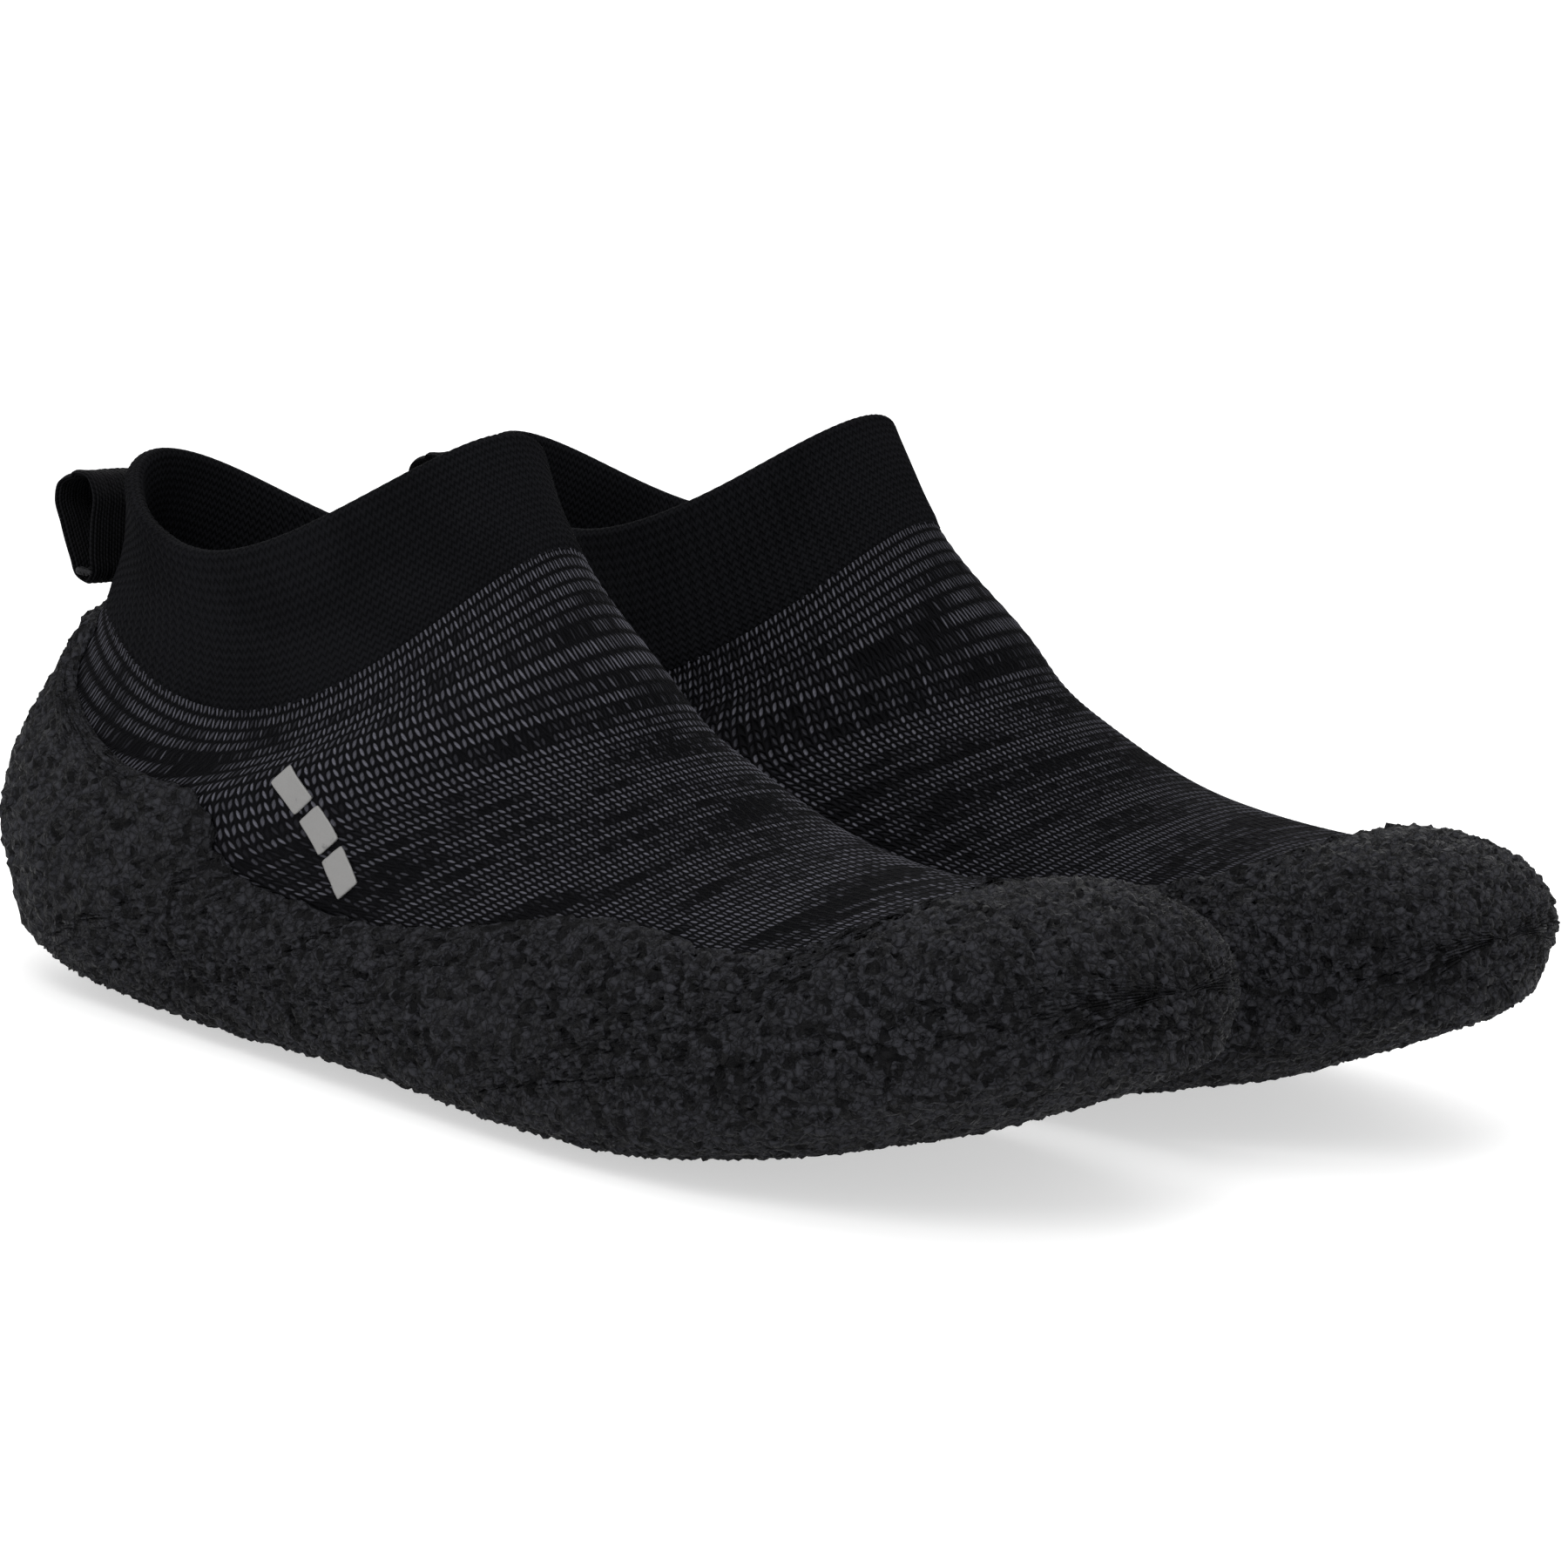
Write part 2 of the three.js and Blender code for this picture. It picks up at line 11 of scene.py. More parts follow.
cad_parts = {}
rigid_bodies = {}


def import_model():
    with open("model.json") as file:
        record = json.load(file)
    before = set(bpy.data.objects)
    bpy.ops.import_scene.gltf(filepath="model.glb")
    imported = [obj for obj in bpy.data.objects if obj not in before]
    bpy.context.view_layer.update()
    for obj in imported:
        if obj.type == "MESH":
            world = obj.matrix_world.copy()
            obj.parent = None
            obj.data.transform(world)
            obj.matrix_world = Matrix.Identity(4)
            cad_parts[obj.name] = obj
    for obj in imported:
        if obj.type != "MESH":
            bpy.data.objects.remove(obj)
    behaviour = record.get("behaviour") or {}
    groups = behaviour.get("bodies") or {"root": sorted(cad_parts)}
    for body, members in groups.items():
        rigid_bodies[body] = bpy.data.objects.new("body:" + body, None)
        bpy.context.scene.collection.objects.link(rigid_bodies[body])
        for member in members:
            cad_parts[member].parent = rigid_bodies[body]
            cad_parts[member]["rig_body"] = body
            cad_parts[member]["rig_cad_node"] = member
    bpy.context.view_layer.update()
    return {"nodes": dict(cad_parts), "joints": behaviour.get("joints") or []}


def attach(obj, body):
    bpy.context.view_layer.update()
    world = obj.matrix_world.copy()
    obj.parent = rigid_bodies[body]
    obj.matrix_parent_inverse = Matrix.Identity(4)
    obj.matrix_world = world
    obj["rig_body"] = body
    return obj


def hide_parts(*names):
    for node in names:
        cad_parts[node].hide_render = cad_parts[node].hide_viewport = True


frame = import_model()
JOINTS = {joint["name"]: joint for joint in frame["joints"]}
MM = 0.001                      # sizes below are millimetres, objects are metres
SIDES = ("right", "left")

# ---- sizes of the shoe, in millimetres ----
KNIT_T = 1.8
RIB_T = 3.0
RAND_T = 2.3
PAD_T = 4.8
SOLE_HEIGHT = 4.0               # lowest knit above the floor
CLEAR = 0.3
CUFF_TOP = 115.5
LAST_TOP = 115.0
CUFF_END = 0.16
LOOP_ROOT = 0.155
LOOP_FOOT = 0.8 * math.sqrt(2) + CLEAR + 1.2    # radius of the ribbon round its stitched bar
TONGUE_TOP = 0.185
TOE_SEAM = 0.93
TIP = 0.9995                    # the last ring that still has a size

# ---- the last: each measure of a ring is a curve through [t, value] points ----
LAST = {
    "frontX": [(0, 110), (0.4, 148), (0.52, 160), (0.63, 180), (0.86, 240), (0.95, 256), (1, 260)],
    "frontZ": [(0, 115), (0.16, 96), (0.4, 77), (0.55, 65), (0.68, 54), (0.76, 52), (0.86, 54),
               (0.93, 50), (1, 37)],
    "backX": [(0, 24), (0.1, 23), (0.24, 13), (0.33, 7), (0.41, 10), (0.48, 24), (0.55, 62),
              (0.71, 155), (0.86, 216), (1, 260)],
    "backZ": [(0, 99), (0.16, 73), (0.32, 43), (0.4, 26), (0.48, 9), (0.54, 4), (0.63, 4.8),
              (0.75, 4), (0.86, 13), (0.93, 23), (1, 34)],
    "out": [(0, 29), (0.16, 28), (0.32, 36), (0.56, 38), (0.7, 48), (0.78, 50), (0.87, 46),
            (0.93, 37), (0.97, 25), (1, 8)],
    "inn": [(0, 30), (0.16, 31), (0.4, 36), (0.63, 43), (0.76, 45), (0.86, 41), (0.93, 30),
            (0.97, 20), (1, 7)],
    "shift": [(0, 0), (0.3, 0), (0.4, 0), (0.86, 6), (1, 11)],
    "mid": [(0, 0.5), (0.24, 0.5), (0.6, 0.64), (1, 0.5)],
    "top": [(0, 2), (0.6, 2), (0.88, 2.2), (1, 2)],
    "under": [(0, 2), (0.2, 2), (0.5, 3), (0.6, 3.2), (0.74, 3.2), (0.88, 2.5), (1, 2)],
    "sag": [(0, 15), (0.16, 25), (0.24, 22), (0.46, 4), (0.55, 0), (0.65, 0), (1, 0)],
}

# Upper edge of the rubber, in degrees round the ring from its front or top point.
CRUMB_EDGE = {
    "outer": [(0.06, 156), (0.19, 155), (0.23, 147), (0.26, 118), (0.3, 97), (0.38, 86), (0.54, 84),
              (0.6, 78), (0.66, 56), (0.75, 50), (0.785, 41), (0.8, 26), (0.81, 4)],
    "inner": [(0.06, 156), (0.19, 155), (0.23, 147), (0.26, 118), (0.3, 97), (0.38, 87), (0.54, 81),
              (0.6, 77), (0.66, 60), (0.72, 50), (0.76, 41), (0.785, 30), (0.8, 18), (0.81, 3)],
}
EDGE_END = 0.81                 # from here on the rubber closes over the toe
# Parting line between pad and rand, seen from the side, as (x, z).
PARTING = [(-20, 9), (60, 9), (110, 9.5), (150, 10), (165, 13), (200, 22), (230, 32.5), (262, 43),
           (290, 49)]


# ---- the skin of the knit ----
def curve(points, x):
    knots = np.array([p[0] for p in points], float)
    values = np.array([p[1] for p in points], float)
    slope = np.diff(values) / np.diff(knots)
    gap = np.diff(knots)
    tangent = np.empty(len(knots))
    tangent[1:-1] = (slope[:-1] * gap[1:] + slope[1:] * gap[:-1]) / (gap[1:] + gap[:-1])
    tangent[0] = 2 * slope[0] - tangent[1]
    tangent[-1] = 2 * slope[-1] - tangent[-2]
    i = np.clip(np.searchsorted(knots, x, side="right") - 1, 0, len(knots) - 2)
    u = (x - knots[i]) / gap[i]
    return ((2 * u ** 3 - 3 * u ** 2 + 1) * values[i] + (u ** 3 - 2 * u ** 2 + u) * gap[i] * tangent[i]
            + (3 * u ** 2 - 2 * u ** 3) * values[i + 1] + (u ** 3 - u ** 2) * gap[i] * tangent[i + 1])


LAST_SOLE = min(curve(LAST["backZ"], i / 400) for i in range(400))
RISE = (CUFF_TOP - SOLE_HEIGHT) / (LAST_TOP - LAST_SOLE)


def to_height(z):
    return SOLE_HEIGHT + (z - LAST_SOLE) * RISE


def skin(phi, t):
    """Points on the outside of the knit, at ring angle phi and place t along the sock."""
    phi, t = np.broadcast_arrays(np.asarray(phi, float), np.asarray(t, float))
    ring = {name: curve(points, t) for name, points in LAST.items()}
    c = np.cos(phi)
    s = np.sin(phi)
    power = 2 / np.where(c > 0, ring["top"], ring["under"])
    along = np.abs(c) ** power
    across = np.abs(s) ** power
    mid_x = ring["frontX"] + (ring["backX"] - ring["frontX"]) * ring["mid"]
    mid_z = ring["frontZ"] + (ring["backZ"] - ring["frontZ"]) * ring["mid"]
    x = mid_x + (np.where(c > 0, ring["frontX"], ring["backX"]) - mid_x) * along
    z = mid_z + (np.where(c > 0, ring["frontZ"], ring["backZ"]) - mid_z) * along
    y = ring["shift"] + np.where(s > 0, -ring["out"], ring["inn"]) * across
    run_x = ring["frontX"] - ring["backX"]
    run_z = ring["frontZ"] - ring["backZ"]
    drop = ring["sag"] * s * s / np.hypot(run_x, run_z)
    return np.stack([x + run_z * drop, y, to_height(z - run_x * drop)], -1)


def unit(vectors):
    return vectors / np.maximum(np.linalg.norm(vectors, axis=-1, keepdims=True), 1e-9)


STEP = 1e-3


def normal(phi, t):
    around = skin(phi + STEP, t) - skin(phi - STEP, t)
    ahead = skin(phi, np.minimum(t + STEP, 1)) - skin(phi, t - STEP)
    return unit(np.cross(around, ahead))


def smooth(low, high, x):
    u = np.clip((x - low) / (high - low), 0, 1)
    return u * u * (3 - 2 * u)


def lengths(phi, t):
    """Running length in mm along the points at phi and t."""
    points = skin(phi, t)
    return np.concatenate([[0], np.cumsum(np.linalg.norm(np.diff(points, axis=0), axis=1))])


# ---- seeded noise on points ----
def cell_random(cells, seed):
    x, y, z = (cells[..., k].astype(np.uint64) for k in range(3))
    h = x * np.uint64(73856093) ^ y * np.uint64(19349663) ^ z * np.uint64(83492791)
    h = (h ^ np.uint64(seed * 2654435761 % 2 ** 32)) & np.uint64(0xFFFFFFFF)
    for shift, factor in ((16, 0x7FEB352D), (15, 0x846CA68B)):
        h = ((h ^ (h >> np.uint64(shift))) * np.uint64(factor)) & np.uint64(0xFFFFFFFF)
    return ((h ^ (h >> np.uint64(16))) & np.uint64(0xFFFFFF)).astype(float) / 0xFFFFFF


def value_noise(points, size, seed):
    """Smooth noise from 0 to 1 with features about size across."""
    q = points / size + 1000.0
    base = np.floor(q).astype(np.int64)
    f = q - base
    f = f * f * (3 - 2 * f)
    total = np.zeros(len(points))
    for corner in range(8):
        bit = np.array([(corner >> k) & 1 for k in range(3)])
        weight = np.prod(np.where(bit, f, 1 - f), axis=-1)
        total += weight * cell_random(base + bit, seed)
    return total


def granules(points, size, seed):
    """Rounded crumbs packed against each other: height, crack and a random value of each crumb."""
    q = points / size + 1000.0
    base = np.floor(q).astype(np.int64)
    first = np.full(len(q), 9.0)
    second = np.full(len(q), 9.0)
    own = np.zeros(len(q))
    for dx in (-1, 0, 1):
        for dy in (-1, 0, 1):
            for dz in (-1, 0, 1):
                cell = base + np.array([dx, dy, dz])
                offset = np.stack([cell_random(cell, seed + k) for k in range(3)], -1)
                d = np.linalg.norm(q - cell - offset, axis=-1)
                value = cell_random(cell, seed + 5)
                d = d * (0.85 + 0.4 * value)
                nearer = d < first
                second = np.where(nearer, first, np.minimum(second, d))
                own = np.where(nearer, value, own)
                first = np.where(nearer, d, first)
    return 1 - np.minimum(first, 1) ** 2, second - first, own


# ---- placing and making pieces ----
def placement(side):
    """Turns a shoe's own millimetres into the frame's metres, from the hinge of its loop."""
    hinge = JOINTS[f"{side}_loop_swing"]
    turn = math.atan2(hinge["axis"][0], -hinge["axis"][1])
    mirror = -1.0 if side == "left" else 1.0
    c, s = math.cos(turn), math.sin(turn)
    matrix = np.array([[c, -s, 0], [s, c, 0], [0, 0, 1]])
    matrix = matrix @ np.diag([1, mirror, 1])
    root = loop_root() * MM
    origin = np.array(hinge["pos_m"]) - matrix @ root
    origin[2] = 0
    return matrix, origin, mirror


def loop_root():
    return skin(math.pi, LOOP_ROOT) + normal(math.pi, LOOP_ROOT) * (CLEAR + LOOP_FOOT)


def make_piece(side, name, points, faces, material, attributes=None):
    """A mesh of one shoe from points in its own millimetres; attributes are per point or corner."""
    matrix, origin, mirror = placement(side)
    world = points @ matrix.T * MM + origin
    mesh = bpy.data.meshes.new(f"{side}_{name}_mesh")
    order = [tuple(int(i) for i in face) for face in faces]
    if mirror < 0:
        order = [face[::-1] for face in order]
    mesh.from_pydata([tuple(p) for p in world], [], order)
    for key, values in (attributes or {}).items():
        values = np.asarray(values, np.float32)
        if len(values) == len(points) and values.ndim == 1:
            layer = mesh.attributes.new(key, "FLOAT", "POINT")
            layer.data.foreach_set("value", values)
        else:
            corners = np.zeros((len(values), values.shape[1], 3), np.float32)
            corners[..., :2] = values[:, ::-1] if mirror < 0 else values
            layer = mesh.attributes.new(key, "FLOAT_VECTOR", "CORNER")
            layer.data.foreach_set("vector", corners.ravel())
    mesh.update()
    mesh.shade_smooth()
    obj = bpy.data.objects.new(f"{side}_{name}_looks", mesh)
    bpy.context.scene.collection.objects.link(obj)
    obj.data.materials.append(material)
    return obj


def grid_faces(rows, columns, wrap=False, first=0):
    """Quads of a grid of points; with wrap, the last column joins the first."""
    i, j = np.meshgrid(np.arange(rows - 1), np.arange(columns if wrap else columns - 1), indexing="ij")
    k = (j + 1) % columns
    quads = np.stack([i * columns + j, (i + 1) * columns + j, (i + 1) * columns + k, i * columns + k], -1)
    return first + quads.reshape(-1, 4)


def fit(side, obj, body, slot, *nodes):
    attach(obj, f"{side}_{body}")
    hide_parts(*[f"{side}_{node}" for node in nodes])
    return obj


# ---- shader graph helper ----
class Graph:
    """Short calls for building a material's nodes."""

    def __init__(self, name):
        self.material = bpy.data.materials.new(name)
        self.material.use_nodes = True
        self.nodes = self.material.node_tree.nodes
        self.links = self.material.node_tree.links
        self.shader = self.nodes["Principled BSDF"]

    def feed(self, socket, value):
        if isinstance(value, bpy.types.NodeSocket):
            self.links.new(value, socket)
        else:
            socket.default_value = value

    def math(self, operation, *values):
        node = self.nodes.new("ShaderNodeMath")
        node.operation = operation
        for socket, value in zip(node.inputs, values):
            self.feed(socket, value)
        return node.outputs[0]

    def attribute(self, name):
        node = self.nodes.new("ShaderNodeAttribute")
        node.attribute_name = name
        return node

    def split(self, vector):
        node = self.nodes.new("ShaderNodeSeparateXYZ")
        self.feed(node.inputs[0], vector)
        return node.outputs[0], node.outputs[1]

    def join(self, x, y, z=0.0):
        node = self.nodes.new("ShaderNodeCombineXYZ")
        for socket, value in zip(node.inputs, (x, y, z)):
            self.feed(socket, value)
        return node.outputs[0]

    def place(self):
        return self.nodes.new("ShaderNodeTexCoord").outputs["Object"]

    def noise(self, vector, scale, detail=2.0, roughness=0.5):
        node = self.nodes.new("ShaderNodeTexNoise")
        self.feed(node.inputs["Vector"], vector)
        node.inputs["Scale"].default_value = scale
        node.inputs["Detail"].default_value = detail
        node.inputs["Roughness"].default_value = roughness
        return node.outputs["Fac"]

    def colour_noise(self, vector, scale):
        node = self.nodes.new("ShaderNodeTexNoise")
        self.feed(node.inputs["Vector"], vector)
        node.inputs["Scale"].default_value = scale
        return node.outputs["Color"]

    def voronoi(self, vector, scale, feature):
        node = self.nodes.new("ShaderNodeTexVoronoi")
        node.feature = feature
        self.feed(node.inputs["Vector"], vector)
        node.inputs["Scale"].default_value = scale
        return node

    def white(self, vector):
        node = self.nodes.new("ShaderNodeTexWhiteNoise")
        node.noise_dimensions = "3D"
        self.feed(node.inputs["Vector"], vector)
        return node.outputs["Value"]

    def range(self, value, low, high, to_low, to_high):
        node = self.nodes.new("ShaderNodeMapRange")
        node.interpolation_type = "SMOOTHSTEP"
        for socket, item in zip(node.inputs, (value, low, high, to_low, to_high)):
            self.feed(socket, item)
        return node.outputs[0]

    def mix(self, factor, first, second):
        node = self.nodes.new("ShaderNodeMix")
        node.data_type = "RGBA"
        self.feed(node.inputs[0], factor)
        for socket, value in zip((node.inputs[6], node.inputs[7]), (first, second)):
            self.feed(socket, (*value, 1) if isinstance(value, tuple) else value)
        return node.outputs[2]

    def bump(self, height, distance, strength=1.0):
        node = self.nodes.new("ShaderNodeBump")
        node.inputs["Strength"].default_value = strength
        node.inputs["Distance"].default_value = distance
        self.feed(node.inputs["Height"], height)
        self.links.new(node.outputs[0], self.shader.inputs["Normal"])

    def set(self, **values):
        for name, value in values.items():
            self.feed(self.shader.inputs[name.replace("_", " ")], value)
        return self.material


# ---- materials ----
KNIT_BLACK = (0.0036, 0.0036, 0.0044)
KNIT_GREY = (0.1, 0.1, 0.12)


def knit_material():
    """Space-dyed jersey: slanted stitch legs, the yarn changing from black to grey along courses."""
    g = Graph("melange_knit")
    wale, course = g.split(g.attribute("knit").outputs["Vector"])
    across = g.math("FRACT", wale)
    half = g.math("GREATER_THAN", across, 0.5)
    leg = g.math("MULTIPLY", g.math("ABSOLUTE", g.math("SUBTRACT", across, 0.5)), 2.0)
    slant = g.math("ADD", course, g.math("MULTIPLY", leg, 0.55))
    row = g.math("FLOOR", slant)
    up = g.math("FRACT", slant)
    round_up = g.math("SINE", g.math("MULTIPLY", up, math.pi))
    round_leg = g.math("SINE", g.math("MULTIPLY", leg, math.pi))
    stitch = g.math("MULTIPLY", g.math("POWER", round_up, 0.8), round_leg)
    # the yarn's colour along the course, in runs of some wales
    yarn = g.noise(g.join(g.math("MULTIPLY", wale, 0.09), g.math("MULTIPLY", row, 7.31)), 1.0, 1.0, 0.6)
    patch = g.noise(g.join(g.math("MULTIPLY", wale, 0.035), g.math("MULTIPLY", row, 0.16), 4.0), 1.0, 1.0)
    one = g.white(g.join(g.math("ADD", g.math("FLOOR", wale), g.math("MULTIPLY", half, 0.37)), row, 2.0))
    dye = g.math("ADD", g.math("ADD", yarn, g.math("MULTIPLY", patch, 0.75)), g.math("MULTIPLY", one, 0.22))
    top_band = g.range(course, 1.0, 4.5, 0.14, 0.0)
    light = g.range(g.math("ADD", dye, top_band), 0.78, 1.12, 0.0, 1.0)
    fibre = g.noise(g.join(g.math("MULTIPLY", wale, 3.0), g.math("MULTIPLY", slant, 9.0)), 1.0, 3.0)
    # painted shade: the grey yarn fades to black towards the gaps between stitch legs; one leg of each
    # stitch is also drawn at 0.6 of the other's brightness
    gap_shade_mask = g.math("MULTIPLY", g.range(stitch, 0.45, 0.85, 0.0, 1.0), g.range(half, 0.0, 1.0, 0.6, 1.0))
    shade = g.math("MULTIPLY", g.math("MULTIPLY", light, gap_shade_mask), g.range(fibre, 0.2, 0.8, 0.5, 1.2))
    colour = g.mix(shade, KNIT_BLACK, KNIT_GREY)
    g.bump(g.math("ADD", stitch, g.math("MULTIPLY", fibre, 0.25)), 0.0007)
    return g.set(Base_Color=colour, Roughness=g.range(fibre, 0.0, 1.0, 0.75, 0.92),
                 Specular_IOR_Level=0.03)


def rib_material(name, colour, wear):
    """Fine rib jersey: courses of small stitches on the ribs that the mesh carries."""
    g = Graph(name)
    wale, course = g.split(g.attribute("knit").outputs["Vector"])
    leg = g.math("ABSOLUTE", g.math("SUBTRACT", g.math("FRACT", g.math("MULTIPLY", wale, 2.0)), 0.5))
    up = g.math("FRACT", g.math("ADD", course, g.math("MULTIPLY", leg, 1.2)))
    stitch = g.math("SINE", g.math("MULTIPLY", up, math.pi))
    fibre = g.noise(g.place(), 2600.0, 2.0)
    cloud = g.noise(g.place(), 60.0, 3.0)
    # painted shade: the yarn colour darkens to a 0.3 copy of itself in the dips between stitches; the cloud
    # is random tone
    tone = g.math("MULTIPLY", g.range(stitch, 0.0, 1.0, 0.35, 1.0), g.range(cloud, 0.3, 0.7, 0.7, 1.3))
    dark = tuple(v * 0.3 for v in colour)
    g.bump(g.math("ADD", stitch, g.math("MULTIPLY", fibre, 0.35)), 0.00028)
    return g.set(Base_Color=g.mix(tone, dark, colour), Roughness=g.range(fibre, 0.2, 0.8, wear, 0.95),
                 Specular_IOR_Level=0.025)


CRUMB_LOOKS = 1 / 0.0017       # granules per metre in the material


def crumb_material():
    """Pressed rubber crumb: each granule has its own tone, with painted shade in the cracks and pits
    between.
    """
    g = Graph("rubber_crumb")
    crack = g.attribute("crack").outputs["Fac"]
    bend = g.nodes.new("ShaderNodeVectorMath")
    bend.operation = "MULTIPLY_ADD"
    g.feed(bend.inputs[0], g.colour_noise(g.place(), 900.0))
    bend.inputs[1].default_value = (0.0011, 0.0011, 0.0011)
    g.feed(bend.inputs[2], g.place())
    place = bend.outputs[0]
    edge = g.voronoi(place, CRUMB_LOOKS, "DISTANCE_TO_EDGE").outputs["Distance"]
    cell = g.voronoi(place, CRUMB_LOOKS, "F1")
    grain, _ = g.split(cell.outputs["Color"])
    pits = g.noise(g.place(), 390.0, 1.5)
    cloud = g.noise(g.place(), 45.0, 2.0)
    fine = g.noise(g.place(), 2400.0, 2.0, 0.5)
    # painted shade: darker towards each granule's edge, in the pits and along the mesh's cracks; the
    # granule's own value and the cloud are random tone
    tone = g.math("MULTIPLY", g.range(edge, 0.0, 0.12, 0.1, 1.0), g.range(grain, 0.0, 1.0, 0.45, 1.3))
    tone = g.math("MULTIPLY", tone, g.range(pits, 0.4, 0.46, 0.07, 1.0))
    tone = g.math("MULTIPLY", tone, g.range(crack, 0.0, 0.15, 0.5, 1.0))
    tone = g.math("MULTIPLY", tone, g.range(cloud, 0.3, 0.7, 0.85, 1.15))
    colour = g.mix(tone, (0.0018, 0.0018, 0.0022), (0.0218, 0.0221, 0.0262))
    relief = g.math("ADD", g.range(edge, 0.0, 0.3, 0.0, 1.0), g.range(pits, 0.36, 0.5, 0.0, 1.0))
    relief = g.math("ADD", relief, g.math("MULTIPLY", g.math("ADD", fine, grain), 0.35))
    g.bump(relief, 0.0005)
    return g.set(Base_Color=colour, Roughness=g.range(grain, 0.0, 1.0, 0.5, 0.85),
                 Specular_IOR_Level=0.1)


def ribbon_material():
    """Woven ribbon: fine ribs across its length with a twill of threads."""
    g = Graph("loop_ribbon")
    across, along = g.split(g.attribute("knit").outputs["Vector"])
    rib = g.math("SINE", g.math("MULTIPLY", across, 2 * math.pi))
    slant = g.math("ADD", along, g.math("MULTIPLY", across, 0.5))
    pick = g.math("SINE", g.math("MULTIPLY", slant, 2 * math.pi))
    thread = g.math("ADD", rib, g.math("MULTIPLY", pick, 0.5))
    fibre = g.noise(g.place(), 2500.0, 2.0)
    # painted shade: the ribbon is darker in the grooves between its ribs and threads, following the same
    # relief as the bump
    colour = g.mix(g.range(thread, -1.2, 1.4, 0.0, 1.0), (0.002, 0.002, 0.0024), (0.009, 0.009, 0.0102))
    g.bump(g.math("ADD", thread, fibre), 0.00018)
    return g.set(Base_Color=colour, Roughness=g.range(fibre, 0.2, 0.8, 0.72, 0.9),
                 Specular_IOR_Level=0.04)


def thread_material():
    g = Graph("sewing_thread")
    ply = g.noise(g.place(), 3000.0, 2.0)
    colour = g.mix(g.range(ply, 0.3, 0.7, 0.0, 1.0), (0.004, 0.004, 0.0045), (0.02, 0.02, 0.022))
    g.bump(ply, 0.0001)
    return g.set(Base_Color=colour, Roughness=g.range(ply, 0.3, 0.7, 0.5, 0.75), Specular_IOR_Level=0.1)


def foam_material():
    g = Graph("insole_foam")
    cells = g.voronoi(g.place(), 1500.0, "F1")
    cloud = g.noise(g.place(), 80.0, 3.0)
    colour = g.mix(g.range(cloud, 0.3, 0.7, 0.0, 1.0), (0.035, 0.035, 0.038), (0.06, 0.06, 0.064))
    g.bump(cells.outputs["Distance"], 0.00025)
    return g.set(Base_Color=colour, Roughness=g.range(cloud, 0.3, 0.7, 0.8, 0.95))


CLOTH_PITCH = 0.0009            # metres per two threads of the insole cloth


def lining_material():
    g = Graph("insole_cloth")
    x, y = g.split(g.place())
    warp = g.math("SINE", g.math("MULTIPLY", x, 2 * math.pi / CLOTH_PITCH))
    weft = g.math("SINE", g.math("MULTIPLY", y, 2 * math.pi / CLOTH_PITCH))
    weave = g.math("MULTIPLY", warp, weft)
    fibre = g.noise(g.place(), 2200.0, 2.0)
    # painted shade: the cloth is darker in the low points of the weave, following the same relief as the
    # bump
    colour = g.mix(g.range(weave, -1.0, 1.0, 0.0, 1.0), (0.008, 0.008, 0.009), (0.022, 0.022, 0.024))
    g.bump(g.math("ADD", weave, fibre), 0.0002)
    return g.set(Base_Color=colour, Roughness=g.range(fibre, 0.2, 0.8, 0.8, 0.95), Sheen_Weight=0.15)


def print_material():
    """Heat transfer: a silver-grey film that takes on the knit below and is scuffed in places."""
    g = Graph("grey_transfer")
    knit = g.noise(g.place(), 700.0, 2.0)
    scuff = g.noise(g.place(), 220.0, 4.0, 0.7)
    colour = g.mix(g.range(scuff, 0.62, 0.75, 0.0, 1.0), (0.18, 0.178, 0.175), (0.09, 0.09, 0.09))
    g.bump(knit, 0.00015)
    return g.set(Base_Color=colour, Roughness=g.range(scuff, 0.3, 0.7, 0.35, 0.6),
                 Specular_IOR_Level=0.5)


# ---- the knitted sock ----
WALES = 156
COURSE = 2.1                    # millimetres per course, half way down the side
POINTS_PER_WALE = 3
ROWS_PER_COURSE = 2
SIDE_LINE = math.radians(60)
KNIT_TOP = CUFF_END - 0.002     # the sock starts under the end of the cuff
KNIT_HIDDEN = 0.84              # from here on the rubber hides the knit, so it is plain
TOE_ROWS = 15
LINING_COLUMNS = 48             # the inside wall is plain too
LINING_ROWS = 34
STITCH_VALLEY = -0.16
STITCH_CROWN = 0.03
COURSE_RIDGE = 0.07
KNIT_SLACK = 0.7
KNIT_SINK = 0.05


def course_rows(start, end, per_course):
    """Places t at even steps along the side line, and the course number at each."""
    fine = np.linspace(start, end, 2000)
    length = lengths(SIDE_LINE, fine)
    count = int(length[-1] / COURSE * per_course) + 1
    want = np.linspace(0, length[-1], count)
    return np.interp(want, length, fine), want / COURSE


def corner_pairs(faces, first, second, wrap_at):
    """The attribute (first, second) at each corner, with first carried past the wrap."""
    u = first[faces]
    v = second[faces]
    crossing = (u.max(1) - u.min(1)) > wrap_at / 2
    u = np.where(crossing[:, None] & (u < wrap_at / 2), u + wrap_at, u)
    return np.stack([u, v], -1)


def wales_at(phi):
    """Wales counted from the underside, where the yarn's pattern starts over."""
    return (phi + math.pi) % (2 * math.pi) / (2 * math.pi) * WALES


